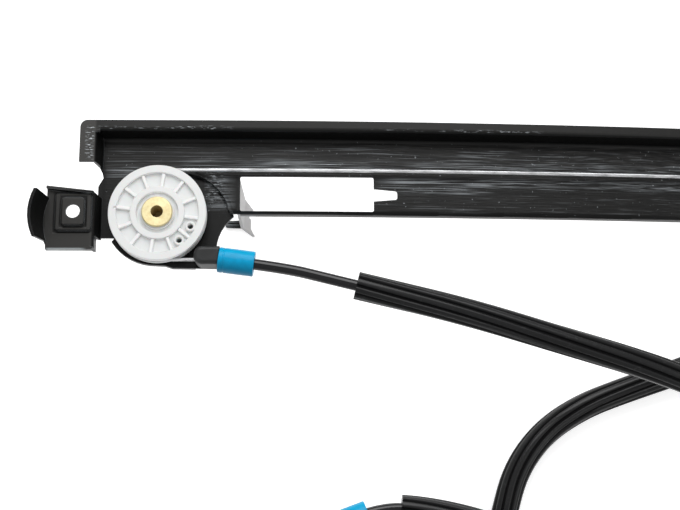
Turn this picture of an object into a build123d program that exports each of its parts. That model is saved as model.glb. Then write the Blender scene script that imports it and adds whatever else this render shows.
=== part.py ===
from build123d import *
import math
import os

# Cable window regulator: a curved stamped rail, a pulley at each end, a glass carrier on the rail
# and a cable drum unit joined to the pulleys by two conduits.
# Millimetres. The origin is on the upper pulley's axis, on the top face of the rail's web.
# +X runs along the rail towards its lower end, +Z is away from the web on the pulley's side.
# Lengths along the rail, s, are measured from the upper pulley's axis as if the rail were flat.

# Stamped sheet
SHEET = 1.5
BEND = 2.0
CLEAR = 0.3

# Rail section, across the rail
WEB_LOW = 1.5
WEB_HIGH = 42.7
WALL_LEAN = 1.0
FLANGE_TOP = 12.0
FLANGE_EDGE = 49.4
LIP_DEPTH = 6.0

# Rail along its length
RAIL_RADIUS = 3000.0
ARC_START = 30.0
ARC_LENGTH = 410.0
PULLEY_INSET = 30.0
WEB_OVERHANG = 30.6
LOWER_OVERHANG = 53.0
WALL_RUN = 1.7
WEB_LAP = 0.5
LEG_WIDTH = 8.7
LEG_LENGTH = 22.9
CORNER = 4.0
END_EDGE = ((-30.0, 26.6), (-32.0, 26.6), (-30.8, 24.2), (-32.4, 16.0), (-32.4, 9.0), (-30.0, 9.0))
END_NICK = ((-33.0, 24.2), (-30.6, 24.2), (-29.8, 20.9), (-32.4, 16.2), (-33.0, 16.2))

# Surface that the regulator lies on, below the web's top face at the upper end
STAND_HEIGHT = 60.5

# Fixing pad at the upper end
PAD_LENGTH = 24.3
PAD_LOW = -20.5
PAD_HIGH = 12.6
PAD_TAPER = 2.7
PAD_FLANGE = 3.0
PAD_LIP = 4.0
PAD_FOOT_LOW = -12.8
PAD_CORNER = 3.8
BOSS_STEP = 1.5
BOSS_OUTER = (19.0, 20.0)
BOSS_INNER = (12.0, 15.0)
BOSS_CORNER = 2.5
BOLT_X = -42.6
BOLT_Y = -1.0
BOLT_HOLE_R = 3.6
TAB_HEIGHT = 20.0
TAB_LOW = -16.4
TAB_HIGH = 6.6
TAB_BULGE = 2.8
TAB_SPREAD = 2.0
TAB_LEAN = 0.13

# Slot lanced out of the web, and the hook made of its strip
SLOT_START = 42.6
SLOT_LENGTH = 71.2
SLOT_LOW = 3.1
SLOT_HIGH = 22.2
SLOT_CORNER = 1.0
NOTCH_LENGTH = 12.6
NOTCH_ROOT = 7.2
NOTCH_TIP = 4.8
NOTCH_CORNER = 1.4
NOTCH_Y = 12.3
LANCE_GAP = 0.4
HOOK_KNEE = 0.33
HOOK_LOW_KNEE = 0.6
HOOK_LOW_FLARE = 6.3
HOOK_HIGH_KNEE = 1.6
HOOK_HIGH_FLARE = 5.2
HOOK_TAPER = 2.5
HOOK_FORK = 10.5
TONGUE_LENGTH = 15.4
TONGUE_ROOT = 5.2
TONGUE_TIP = 3.8
TONGUE_Y = 10.5

# Pulley seat pressed into the web
SEAT_DROP = 2.0
SEAT_LIP = 3.5
LOBE_LAP = 0.1
LOBE_SHORT = 0.8

# Pulleys
PULLEY_R = 25.5
CABLE_PITCH_R = 24.3
CABLE_Z = 4.6
PULLEY_LOW = 1.0
PULLEY_TOP = 9.0
RIM_WIDTH = 4.0
HUB_RING_R = 14.2
HUB_RING_WIDTH = 3.2
HUB_R = 8.9
POCKET_DEPTH = 1.9
HUB_GROOVE_DEPTH = 1.8
RIB_COUNT = 12
RIB_WIDTH = 1.7
RIB_TURN = 22.0
RIB_SINK = 0.4
PIN_HOLE_R = 1.5
PIN_BOSS_R = 2.7
PIN_PITCH_R = 18.95
PIN_ANGLES = (-23.3, -51.9)
GATE_R = 0.7
GATE_DEPTH = 0.6
GATE_PITCH_R = 22.2
GATE_ANGLE = 174.0

# Pulley rivet
RIVET_R = 5.5
RIVET_BORE_R = 3.2
RIVET_HEAD_R = 8.1
RIVET_HEAD = 1.4
RIVET_SHOULDER_R = 7.0
RIVET_TAIL_R = 4.5
RIVET_FOOT_R = 7.5
RIVET_FOOT = 1.5
RUN_GAP = 0.05

# Cable, conduits and fluted sleeves
CABLE_R = 0.95
CONDUIT_R = 2.95
CONDUIT_BORE_R = 1.3
FLUTED_R = 7.3

# Conduit stops and spring sleeves
STOP_LENGTH = 12.5
STOP_R = 5.4
STOP_OUTER = 3.3
STOP_INNER = 6.4
STOP_GAP = 0.823
STOP_START = math.sqrt((PULLEY_R + STOP_GAP) ** 2 - (CABLE_PITCH_R - STOP_INNER) ** 2)
SPIGOT_R = 4.9
SPIGOT_LENGTH = 5.2
STOP_BORE_BEND = 60.0
SLEEVE_R = 6.6
SLEEVE_WALL = 1.2
SLEEVE_LENGTH = 18.7
SLEEVE_END = 1.5
SPRING_R = 4.2
SPRING_WIRE_R = 0.5
SPRING_PITCH = 2.4
UPPER_EXIT_DEG = -7.5
LOWER_EXIT_DEG = -15.0
CONDUIT_INSET = 10.0

# Drum unit
DRUM_X = 73.5
DRUM_Y = -190.0
DRUM_PITCH_R = 22.0
DRUM_R = 24.8
DRUM_LENGTH = 20.5
DRUM_TOP = -34.0
GROOVE_PITCH = 4.0
GROOVE_COUNT = 4
DRUM_CABLE_Z = -38.0
JOURNAL_LOW_R = 9.0
JOURNAL_TOP_R = 12.0
JOURNAL_STAND = 0.8
INSERT_R = 7.5
SOCKET_R = 4.4
SPLINE_COUNT = 6
SPLINE_R = 1.3
CASE_GAP = 1.5
CASE_WALL = 2.7
CASE_BASE = 2.5
COVER_SHEET = 2.2
COVER_RIBS = 9
COVER_RIB = 0.8
COVER_RIB_WIDTH = 1.6
COVER_RING_R = 15.0
EXIT_DEG = (20.0, 12.0)
EXIT_START = 16.0
EAR_COUNT = 3
EAR_TURN = 15.0
EAR_PITCH_R = 36.0
EAR_R = 7.5
EAR_HEIGHT = 5.5
BUSH_R = 4.6
BUSH_BORE_R = 3.2
SCREW_TURN = 0.0
SCREW_PITCH_R = 31.5
SCREW_BOSS_R = 3.4
SCREW_R = 1.5
SCREW_LENGTH = 9.0
SCREW_HEAD_R = 2.8
SCREW_HEAD = 2.0

# Stand-off bracket at the lower end
STAND_START = 30.0
STAND_SEAT = 20.0
STAND_LOW = 8.0
STAND_WIDTH = 30.0
STAND_REACH = 8.0
FOOT_LENGTH = 26.0
STAND_RIVET_R = 2.5
STAND_RIVET_HEAD_R = 4.5
STAND_RIVET_HEAD = 1.6
STAND_RIVET_SPACING = 16.0

# Glass carrier, at the lower stop with its middle set back from the arc's end
CARRIER_SETBACK = 45.0
PLATE = 2.0
PLATE_HALF = 41.0
PLATE_TOP = 16.5
PLATE_STEP = 6.0
PLATE_HIGH = 53.0
PLATE_KNEE = 39.5
PLATE_LOW = -3.0
PLATE_SKIRT = 7.0
SHOE_GAP = 0.35
SHOE_WALL = 2.5
UPPER_SHOE_LENGTH = 24.0
UPPER_SHOE_OFFSET = 24.0
LOWER_SHOE_LENGTH = 32.0
LOWER_SHOE_OFFSET = -8.0
HOLDER_LENGTH = 24.0
HOLDER_WIDTH = 10.6
HOLDER_LIFT = 1.2
NIPPLE_R = 2.7
NIPPLE_LENGTH = 7.0
NIPPLE_OFFSET = 5.5
BASE_LENGTH = 48.0
BASE_LOW = 0.0
BASE_KNEE_GAP = 2.5
BASE_HEIGHT = 7.5
BACK_WIDTH = 12.0
PAD_THICKNESS = 2.0
GLASS_GAP = 6.0
CLAMP_BOLT_R = 3.0
CLAMP_BOLT_Y = 14.0
CLAMP_HEAD_R = 5.6
CLAMP_HEAD = 5.0
CLAMP_WASHER_R = 7.5
CLAMP_WASHER = 1.2
CLAMP_NUT = 5.5
BUFFER_LENGTH = 6.5
BUFFER_WIDTH = 10.0
BUFFER_LOW = 30.0

# Sizes worked out from the ones above
ARC_END = ARC_START + ARC_LENGTH
CARRIER_S = ARC_END - CARRIER_SETBACK
LOWER_S = ARC_END + PULLEY_INSET
WALL_TOP = WEB_HIGH + WALL_LEAN
SURFACE = -STAND_HEIGHT
ARC_AXIS = Axis((ARC_START, 0, -RAIL_RADIUS), (0, 1, 0))
PLATE_FLAT = PLATE_TOP - PLATE_STEP
SPIGOT_AT = STOP_START + STOP_LENGTH


def block(x0, x1, y0, y1, z0, z1):
    """A box between two corners."""
    return Pos((x0 + x1) / 2, (y0 + y1) / 2, (z0 + z1) / 2) * Box(x1 - x0, y1 - y0, z1 - z0)


def rod(radius, z0, z1, x=0, y=0):
    """A round bar along Z."""
    return Pos(x, y, z0) * Cylinder(radius, z1 - z0, align=(Align.CENTER, Align.CENTER, Align.MIN))


def bar(radius, x0, x1, y=0, z=0):
    """A round bar along X."""
    return Pos(x0, y, z) * Rot(0, 90, 0) * Cylinder(radius, x1 - x0, align=(Align.CENTER, Align.CENTER, Align.MIN))


def hexagon(radius, z0, z1, x=0, y=0):
    """A hexagonal bar along Z."""
    return Pos(x, y, z0) * extrude(RegularPolygon(radius, 6), amount=z1 - z0)


def ring_places(count, radius, turn):
    """Places evenly round a circle."""
    angles = [math.radians(turn + 360 * i / count) for i in range(count)]
    return [(radius * math.cos(a), radius * math.sin(a)) for a in angles]


def sheet(points, radii=BEND, thickness=SHEET, side=Side.LEFT):
    """The edge-on face of a bent sheet, to one side of the line through the points."""
    line = FilletPolyline(*points, radius=radii)
    return make_face(offset(line, amount=thickness, side=side, closed=True).edges())


def along_y(face, y0, y1):
    """Extrudes a face drawn in X and Z from y0 to y1."""
    return extrude(Plane.XZ.offset(-y0) * face, amount=y0 - y1)


def flat(face, z0, z1):
    """Extrudes a face drawn in X and Y from z0 to z1."""
    return extrude(Pos(0, 0, z0) * face, amount=z1 - z0)


def turn(s):
    """Turns things drawn where the arc starts to the length s of the rail."""
    angle = math.degrees((s - ARC_START) / RAIL_RADIUS)
    return Pos(ARC_START, 0, -RAIL_RADIUS) * Rot(0, angle, 0) * Pos(-ARC_START, 0, RAIL_RADIUS)


def bend(s):
    """Puts things drawn on the flat rail round the length s onto the curved rail."""
    return turn(s) * Pos(ARC_START - s, 0, 0)


def arc_piece(section, s0, s1):
    """Sweeps a section across the rail along the rail's arc from s0 to s1."""
    face = Plane.YZ.offset(ARC_START) * section
    angle = math.degrees((s1 - s0) / RAIL_RADIUS)
    return turn(s0) * revolve(face, axis=ARC_AXIS, revolution_arc=angle)


def seat_outline():
    """The pulley seat's outline round the pulley's axis, with the lobe below the rail under the stop."""
    tip = (SPIGOT_AT - LOBE_SHORT, -CABLE_PITCH_R - STOP_OUTER - LOBE_LAP)
    edge = [
        ThreePointArc((38.4, 4.1), (30.8, 17.3), (21.2, 23.4)),
        ThreePointArc((21.2, 23.4), (-2.5, 21.5), (-16.5, -2.7)),
        Line((-16.5, -2.7), (-24.8, -13.4)),
        ThreePointArc((-24.8, -13.4), (-16.8, -21.4), (-4.5, -25.7)),
        Line((-4.5, -25.7), (3.5, -26.1)),
        Line((3.5, -26.1), (7.5, -27.4)),
        Line((7.5, -27.4), tip),
        Line(tip, (30.3, -16.5)),
        ThreePointArc((30.3, -16.5), (33.2, -6.8), (39.4, 0.6)),
        Line((39.4, 0.6), (38.4, 4.1)),
    ]
    return make_face(edge)


def rail_section():
    """The rail's section: flange, wall, web and lip."""
    return sheet([(FLANGE_EDGE, FLANGE_TOP), (WALL_TOP, FLANGE_TOP), (WEB_HIGH, 0), (WEB_LOW, 0),
                  (WEB_LOW, -LIP_DEPTH)])


def seat_solids():
    """What the pulley seat adds to the web, and what it cuts away."""
    outline = seat_outline()
    inner = offset(outline, amount=-SHEET)
    wall = outline - inner
    add = flat(outline, -SEAT_DROP - SHEET, -SEAT_DROP)
    add += flat(wall, -SEAT_DROP - SHEET, 0) & block(-60, 60, WEB_LOW, 60, -10, 1)
    add += flat(wall, -SEAT_DROP - SEAT_LIP, -SEAT_DROP) & block(-60, 19.5, -60, -8, -10, 1)
    cut = flat(inner, -SEAT_DROP, 1) + block(-60, SLOT_START, WEB_LOW - 1, WEB_LOW + SHEET + 0.1, -10, -SHEET)
    return add, cut


def raised_edge(overhang, width, y0, y1):
    """A wall up from the web's end, with a level part at its top."""
    profile = sheet([(-overhang + 3 * BEND, 0), (-overhang, 0), (-overhang - WALL_RUN, FLANGE_TOP),
                     (-overhang - WALL_RUN - width, FLANGE_TOP)])
    return along_y(profile, y0, y1) - block(-overhang + WEB_LAP, -overhang + 4 * BEND, y0 - 1, y1 + 1, -5, 5)


def end_leg(overhang):
    """The raised flange turned round the rail's end, with its wall."""
    edge = overhang + WALL_RUN + LEG_WIDTH
    leg = raised_edge(overhang, LEG_WIDTH, FLANGE_EDGE - LEG_LENGTH, WEB_HIGH + SHEET - 0.2)
    leg += block(-edge, -overhang, WEB_HIGH, FLANGE_EDGE, FLANGE_TOP - SHEET, FLANGE_TOP)
    leg += block(-overhang - WALL_RUN - SHEET, -overhang, WALL_TOP, WALL_TOP + SHEET, SHEET, FLANGE_TOP)
    corner = leg.edges().filter_by(Axis.Z).filter_by(lambda e: e.center().X < -edge + 0.1 and e.center().Y > WALL_TOP)
    return fillet(corner, CORNER)


def fixing_pad():
    """The raised pad with two nested bosses, its flanges and the upright tab."""
    right = -WEB_OVERHANG - WALL_RUN
    left = right - PAD_LENGTH
    under = FLANGE_TOP - SHEET
    pad = raised_edge(WEB_OVERHANG, PAD_LENGTH, PAD_LOW, PAD_HIGH)
    pad -= block(right + 0.1, 0, PAD_LOW - 1, PAD_FOOT_LOW, -10, FLANGE_TOP - 2 * SHEET)
    pad += block(left, right, PAD_LOW, PAD_LOW + SHEET, FLANGE_TOP - PAD_LIP, FLANGE_TOP)
    high = PAD_HIGH - PAD_TAPER
    pad -= flat(make_face(Polyline((left - 1, PAD_HIGH), (left, PAD_HIGH), (right, high), (right + 9, high),
                                   (right + 9, PAD_HIGH + 1), (left - 1, PAD_HIGH + 1), close=True)), -10, FLANGE_TOP + 1)
    edge = make_face(Polyline((left, PAD_HIGH), (right, high), (right, high - SHEET), (left, PAD_HIGH - SHEET), close=True))
    pad += flat(edge, under, FLANGE_TOP + PAD_FLANGE)
    corner = Polyline((right - 0.6, PAD_LOW - 1), (right - 0.6, PAD_LOW), (right + 2.3, PAD_LOW + PAD_CORNER),
                      (0, PAD_LOW + PAD_CORNER), (0, PAD_LOW - 1), close=True)
    pad -= flat(make_face(corner), -10, FLANGE_TOP + 1)
    step = Pos(BOLT_X, BOLT_Y, 0)
    for level, (width, height) in enumerate((BOSS_OUTER, BOSS_INNER)):
        z = FLANGE_TOP + level * BOSS_STEP
        pad += step * flat(RectangleRounded(width, height, BOSS_CORNER), z - SHEET / 2, z + BOSS_STEP)
        hollow = RectangleRounded(width - 2 * SHEET, height - 2 * SHEET, BOSS_CORNER - SHEET / 2)
        pad -= step * flat(hollow, z - SHEET - 0.1, z - SHEET + BOSS_STEP)
    pad -= rod(BOLT_HOLE_R, under - 1, FLANGE_TOP + 3 * BOSS_STEP, BOLT_X, BOLT_Y)
    low, middle = TAB_LOW - TAB_SPREAD, (TAB_LOW + TAB_HIGH) / 2
    outer = ThreePointArc((left, low), (left - TAB_BULGE, middle), (left, TAB_HIGH))
    inner = ThreePointArc((left + SHEET, low), (left + SHEET - TAB_BULGE, middle), (left + SHEET, TAB_HIGH))
    ends = [Line(outer @ 0, inner @ 0), Line(outer @ 1, inner @ 1)]
    tab = extrude(Pos(0, 0, under) * make_face([outer, inner] + ends), amount=TAB_HEIGHT + SHEET, dir=(-TAB_LEAN, 0, 1))
    top = FLANGE_TOP + TAB_HEIGHT
    slant = make_face(Polyline((TAB_LOW, under), (TAB_LOW, FLANGE_TOP), (low, top), (low - 9, top), (low - 9, under), close=True))
    root = make_face([outer, Line(outer @ 0, outer @ 1)])
    return pad + flat(root, under, FLANGE_TOP) + (tab - extrude(Plane.YZ * slant, amount=-2 * PAD_LENGTH - WEB_OVERHANG))


def slot_tool():
    """The slot with its tapered notch, to be cut from the web."""
    end = SLOT_START + SLOT_LENGTH
    slot = Pos(SLOT_START + SLOT_LENGTH / 2, (SLOT_LOW + SLOT_HIGH) / 2) * RectangleRounded(
        SLOT_LENGTH, SLOT_HIGH - SLOT_LOW, SLOT_CORNER)
    return flat(slot + Pos(end, NOTCH_Y) * tapered_end(NOTCH_LENGTH, NOTCH_ROOT, NOTCH_TIP, NOTCH_CORNER), -FLANGE_TOP, FLANGE_TOP / 2)


def tapered_end(length, root, tip, corner):
    """An outline that narrows along +X to a rounded tip."""
    plan = make_face(Polyline((-1, root / 2), (length, tip / 2), (length, -tip / 2), (-1, -root / 2), close=True))
    return fillet(plan.vertices().group_by(Axis.X)[-1], corner)


def hook():
    """The forked strip bent down from the slot's end, with a tongue turned back between its two tips."""
    root = SLOT_START - 0.4
    low, high = SLOT_LOW + LANCE_GAP, SLOT_HIGH - LANCE_GAP
    sides = []
    for y, knee, flare in ((low, HOOK_LOW_KNEE, HOOK_LOW_FLARE), (high, HOOK_HIGH_KNEE, HOOK_HIGH_FLARE)):
        side = sheet([(root - 6, 0), (root, 0), (root + knee, SURFACE * (1 - HOOK_KNEE)), (root + flare, SURFACE)],
                     radii=[BEND + 0.5, 12], side=Side.RIGHT)
        sides.append(Plane.XZ.offset(-y) * side)
    strip = loft(sides, ruled=True)
    fork = SURFACE + HOOK_FORK
    tip = high - HOOK_TAPER
    outside = make_face(Polyline((high + 1, -SHEET), (high, -SHEET), (tip, SURFACE - 1), (high + 1, SURFACE - 1), close=True))
    inside = make_face(Polyline((low, SURFACE), (TONGUE_Y - TONGUE_ROOT / 2, fork), (TONGUE_Y + TONGUE_ROOT / 2, fork),
                                (tip, SURFACE), (tip, SURFACE - 1), (low, SURFACE - 1), close=True))
    strip -= extrude(Plane.YZ * outside, amount=2 * root) + extrude(Plane.YZ * inside, amount=2 * root)
    start, heel = root + HOOK_LOW_KNEE + 1.2, root + HOOK_HIGH_FLARE - 0.5
    tongue = sheet([(start, fork + 2), (heel, SURFACE), (heel - TONGUE_LENGTH, SURFACE)], radii=BEND + 0.5, side=Side.RIGHT)
    tongue = along_y(tongue, TONGUE_Y - TONGUE_ROOT / 2, TONGUE_Y + TONGUE_ROOT / 2)
    plan = Pos(heel, TONGUE_Y) * Rot(0, 0, 180) * tapered_end(TONGUE_LENGTH, TONGUE_ROOT, TONGUE_TIP, NOTCH_CORNER)
    return strip + (tongue & flat(plan, SURFACE - 1, 0))


def guide_rail():
    """The whole rail: curved middle, both ends with their pulley seats, pad, slot and hook."""
    section = rail_section()
    rail = arc_piece(section, ARC_START, ARC_END)
    upper = extrude(Plane.YZ.offset(ARC_START) * section, amount=-ARC_START - WEB_OVERHANG)
    corner = block(-WEB_OVERHANG, -12, PAD_FOOT_LOW + 1, WEB_LOW + 2, -SHEET, 0)
    corner += flat(make_face(Polyline(*END_EDGE, close=True)), -SHEET, 0)
    nick = flat(make_face(Polyline(*END_NICK, close=True)), -2 * SHEET, SHEET)
    add, cut = seat_solids()
    rail += upper + end_leg(WEB_OVERHANG) + fixing_pad() + corner
    rail -= nick
    rail = rail - cut + add - rod(RIVET_TAIL_R, -10, 1)
    rail = rail - slot_tool() + hook()
    lower = extrude(Plane.YZ.offset(ARC_END) * section, amount=PULLEY_INSET + LOWER_OVERHANG)
    place = bend(ARC_END) * Pos(LOWER_S, 0, 0)
    rail += bend(ARC_END) * lower + place * mirror(end_leg(LOWER_OVERHANG), about=Plane.YZ)
    rail = rail - place * mirror(cut, about=Plane.YZ) + place * mirror(add, about=Plane.YZ)
    rail -= place * rod(RIVET_TAIL_R, -10, 1)
    return rail - stand_rivet_holes()


def groove(radius, z):
    """A cable groove to be cut from a rim, clear of the cable."""
    half = CABLE_R + CLEAR
    profile = Pos(radius, z) * Circle(half) + Pos(radius + 5, z) * Rectangle(10, 2 * half)
    return revolve(Plane.XZ * profile, axis=Axis.Z)


def pulley():
    """A moulded pulley with a ribbed face, two pin holes and a gate mark."""
    body = rod(PULLEY_R, PULLEY_LOW, PULLEY_TOP) - groove(CABLE_PITCH_R, CABLE_Z)
    rim = PULLEY_R - RIM_WIDTH
    pocket = Circle(rim) - Circle(HUB_RING_R)
    spokes = Sketch() + [Rot(0, 0, RIB_TURN + 360 * i / RIB_COUNT) * Pos(PULLEY_R / 2, 0) * Rectangle(PULLEY_R, RIB_WIDTH)
                         for i in range(RIB_COUNT)]
    pins = [(PIN_PITCH_R * math.cos(math.radians(a)), PIN_PITCH_R * math.sin(math.radians(a))) for a in PIN_ANGLES]
    bosses = Sketch() + [Pos(x, y) * Circle(PIN_BOSS_R) for x, y in pins]
    body -= flat(pocket - spokes - bosses, PULLEY_TOP - POCKET_DEPTH, PULLEY_TOP + 1)
    body -= flat((pocket & spokes) - bosses, PULLEY_TOP - RIB_SINK, PULLEY_TOP + 1)
    moat = Circle(HUB_RING_R - HUB_RING_WIDTH) - Circle(HUB_R)
    body -= flat(moat, PULLEY_TOP - HUB_GROOVE_DEPTH, PULLEY_TOP + 1)
    for x, y in pins:
        body -= rod(PIN_HOLE_R, PULLEY_LOW - 1, PULLEY_TOP + 1, x, y)
    gate = math.radians(GATE_ANGLE)
    body -= rod(GATE_R, PULLEY_TOP - GATE_DEPTH, PULLEY_TOP + 1, GATE_PITCH_R * math.cos(gate),
                GATE_PITCH_R * math.sin(gate))
    return body - rod(RIVET_R + RUN_GAP, PULLEY_LOW - 1, PULLEY_TOP + 1)


def pulley_rivet():
    """The hollow shouldered rivet that carries a pulley on its seat."""
    head = PULLEY_TOP + CLEAR
    under = -SEAT_DROP - SHEET
    rivet = rod(RIVET_HEAD_R, head, head + RIVET_HEAD)
    rivet = chamfer(rivet.edges().group_by(Axis.Z)[-1], RIVET_HEAD / 3)
    rivet += rod(RIVET_R, -SEAT_DROP, head) + rod(RIVET_SHOULDER_R, -SEAT_DROP, PULLEY_LOW - CLEAR)
    rivet += rod(RIVET_TAIL_R, under, -SEAT_DROP) + rod(RIVET_FOOT_R, under - RIVET_FOOT, under)
    return rivet - rod(RIVET_BORE_R, under, head + 5)


def conduit_stop(exit_deg):
    """The moulded block on the pulley seat that takes the conduit's thrust, with its spigot."""
    stop = block(STOP_START, SPIGOT_AT + STOP_R, -CABLE_PITCH_R - STOP_OUTER, -CABLE_PITCH_R + STOP_INNER,
                 -SEAT_DROP, CABLE_Z + STOP_R)
    nose = stop.edges().filter_by(Axis.Z).group_by(Axis.X)[0]
    stop = fillet(nose, STOP_R * 0.8)
    stop = fillet(stop.edges().group_by(Axis.Z)[-1], STOP_R * 0.4)
    stop -= exit_place(exit_deg) * block(0, 4 * STOP_R, -4 * STOP_R, 4 * STOP_R, -4 * STOP_R, 4 * STOP_R)
    stop += exit_place(exit_deg) * bar(SPIGOT_R, 0, SPIGOT_LENGTH)
    corner = along(exit_place(exit_deg), 0)
    ends = (STOP_START - 1, -CABLE_PITCH_R, CABLE_Z), along(exit_place(exit_deg), SPIGOT_LENGTH + 8)
    return stop - tube([ends[0], corner, ends[1]], [STOP_BORE_BEND], CONDUIT_BORE_R, 0)


def exit_place(exit_deg):
    """The spigot's root at a pulley, with +X along the way that the conduit leaves."""
    return Pos(SPIGOT_AT, -CABLE_PITCH_R, CABLE_Z) * Rot(0, 0, exit_deg)


def spring_sleeve():
    """The coloured sleeve over a spigot and its spring, drawn along +X from the spigot's root."""
    sleeve = bar(SLEEVE_R, CLEAR, CLEAR + SLEEVE_LENGTH)
    sleeve = fillet(sleeve.edges().group_by(Axis.X)[-1], SLEEVE_WALL / 2)
    sleeve -= bar(SLEEVE_R - SLEEVE_WALL, -1, CLEAR + SLEEVE_LENGTH - SLEEVE_END)
    return sleeve - bar(CONDUIT_R + CLEAR, 0, CLEAR + SLEEVE_LENGTH + 1)


def takeup_spring():
    """The spring between a spigot and the end of its sleeve, drawn along +X."""
    start = SPIGOT_LENGTH + SPRING_WIRE_R
    length = CLEAR + SLEEVE_LENGTH - SLEEVE_END - SPRING_WIRE_R - start
    coil = Helix(pitch=SPRING_PITCH, height=length, radius=SPRING_R)
    wire = sweep(Plane(origin=coil @ 0, z_dir=coil % 0) * Circle(SPRING_WIRE_R), path=coil, is_frenet=True)
    return Pos(start, 0, 0) * Rot(0, 90, 0) * wire


def lower_end(thing):
    """Mirrors a thing drawn at the upper pulley to the lower pulley."""
    return bend(ARC_END) * Pos(LOWER_S, 0, 0) * mirror(thing, about=Plane.YZ)


# Drum unit
COVER_LOW = DRUM_TOP + CLEAR
CASE_R = DRUM_R + CASE_GAP
CASE_OUTER_R = CASE_R + CASE_WALL
DRUM_LOW = DRUM_TOP - DRUM_LENGTH
CASE_FLOOR = DRUM_LOW - CLEAR
CASE_LOW = CASE_FLOOR - CASE_BASE
DRUM_PLACE = Pos(DRUM_X, DRUM_Y, 0)


def drum_exit(index):
    """The tangent point of a cable on the drum, with +X along the way that it leaves."""
    side = 1 if index == 0 else -1
    angle = EXIT_DEG[index]
    x = -side * DRUM_PITCH_R * math.sin(math.radians(angle))
    y = side * DRUM_PITCH_R * math.cos(math.radians(angle))
    return Pos(DRUM_X + x, DRUM_Y + y, DRUM_CABLE_Z - index * GROOVE_PITCH) * Rot(0, 0, angle)


def drum_housing():
    """The drum's cup with its ears, screw posts and the two cable exits."""
    case = rod(CASE_OUTER_R, CASE_LOW, COVER_LOW)
    for x, y in ring_places(EAR_COUNT, EAR_PITCH_R, EAR_TURN):
        case += rod(EAR_R, SURFACE, SURFACE + EAR_HEIGHT, x, y)
        angle = math.degrees(math.atan2(y, x))
        case += Rot(0, 0, angle) * block(0, EAR_PITCH_R, -EAR_R, EAR_R, CASE_LOW, SURFACE + EAR_HEIGHT)
    posts = ring_places(EAR_COUNT, SCREW_PITCH_R, SCREW_TURN)
    for x, y in posts:
        case += rod(SCREW_BOSS_R, CASE_LOW, COVER_LOW, x, y)
    case = DRUM_PLACE * case
    for index in range(2):
        arm = block(0, EXIT_START + STOP_LENGTH, -STOP_R, STOP_R, -STOP_R, STOP_R)
        arm = fillet(arm.edges().filter_by(Axis.X), STOP_R * 0.4)
        case += drum_exit(index) * (arm + bar(SPIGOT_R, 0, EXIT_START + STOP_LENGTH + SPIGOT_LENGTH))
    case -= DRUM_PLACE * rod(CASE_R, CASE_FLOOR, 0)
    case -= DRUM_PLACE * rod(CASE_OUTER_R, COVER_LOW, 0)
    for index in range(2):
        case -= drum_exit(index) * bar(CONDUIT_BORE_R + CLEAR, 0, EXIT_START + STOP_LENGTH + SPIGOT_LENGTH + 1)
    case -= DRUM_PLACE * rod(JOURNAL_LOW_R + RUN_GAP, CASE_LOW - 1, CASE_FLOOR + 1)
    for x, y in ring_places(EAR_COUNT, EAR_PITCH_R, EAR_TURN):
        case -= DRUM_PLACE * rod(BUSH_R, SURFACE - 1, SURFACE + EAR_HEIGHT + 1, x, y)
    for x, y in posts:
        case -= DRUM_PLACE * rod(SCREW_R, COVER_LOW - SCREW_LENGTH, COVER_LOW + 1, x, y)
    return case


def drum_cover():
    """The lid over the drum, with its screw lugs."""
    lid = rod(CASE_OUTER_R, COVER_LOW, COVER_LOW + COVER_SHEET)
    lid = chamfer(lid.edges().group_by(Axis.Z)[-1], COVER_SHEET / 4)
    top = COVER_LOW + COVER_SHEET
    lid += rod(COVER_RING_R, top - COVER_RIB, top + COVER_RIB)
    for i in range(COVER_RIBS):
        angle = SCREW_TURN + 360 * (i + 0.5) / COVER_RIBS
        lid += Rot(0, 0, angle) * block(0, CASE_R, -COVER_RIB_WIDTH / 2, COVER_RIB_WIDTH / 2, top - COVER_RIB, top + COVER_RIB)
    for x, y in ring_places(EAR_COUNT, SCREW_PITCH_R, SCREW_TURN):
        lid += rod(SCREW_BOSS_R, COVER_LOW, COVER_LOW + COVER_SHEET, x, y)
    for x, y in ring_places(EAR_COUNT, SCREW_PITCH_R, SCREW_TURN):
        lid -= rod(SCREW_R, COVER_LOW - 1, COVER_LOW + COVER_SHEET + 1, x, y)
    return DRUM_PLACE * (lid - rod(JOURNAL_TOP_R + RUN_GAP, COVER_LOW - 1, COVER_LOW + COVER_SHEET + 1))


def cover_screws():
    """The three screws of the lid."""
    top = COVER_LOW + COVER_SHEET
    screws = []
    for x, y in ring_places(EAR_COUNT, SCREW_PITCH_R, SCREW_TURN):
        screw = rod(SCREW_HEAD_R, top, top + SCREW_HEAD, x, y)
        screw -= hexagon(SCREW_R, top + SCREW_HEAD / 2, top + SCREW_HEAD + 1, x, y)
        screws.append(DRUM_PLACE * (screw + rod(SCREW_R, COVER_LOW - SCREW_LENGTH + 1, top, x, y)))
    return Compound(children=screws)


def mounting_bushes():
    """The steel bushes in the housing's ears."""
    bushes = [DRUM_PLACE * (rod(BUSH_R, SURFACE, SURFACE + EAR_HEIGHT, x, y)
                            - rod(BUSH_BORE_R, SURFACE - 1, SURFACE + EAR_HEIGHT + 1, x, y))
              for x, y in ring_places(EAR_COUNT, EAR_PITCH_R, EAR_TURN)]
    return Compound(children=bushes)


def cable_drum():
    """The grooved drum with a journal at each end."""
    drum = rod(DRUM_R, DRUM_LOW, DRUM_TOP)
    for i in range(GROOVE_COUNT):
        drum -= groove(DRUM_PITCH_R, DRUM_CABLE_Z - i * GROOVE_PITCH)
    drum += rod(JOURNAL_LOW_R, CASE_LOW, DRUM_LOW)
    drum += rod(JOURNAL_TOP_R, DRUM_TOP, COVER_LOW + COVER_SHEET + JOURNAL_STAND)
    return DRUM_PLACE * (drum - rod(INSERT_R, CASE_LOW - 1, 0))


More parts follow.
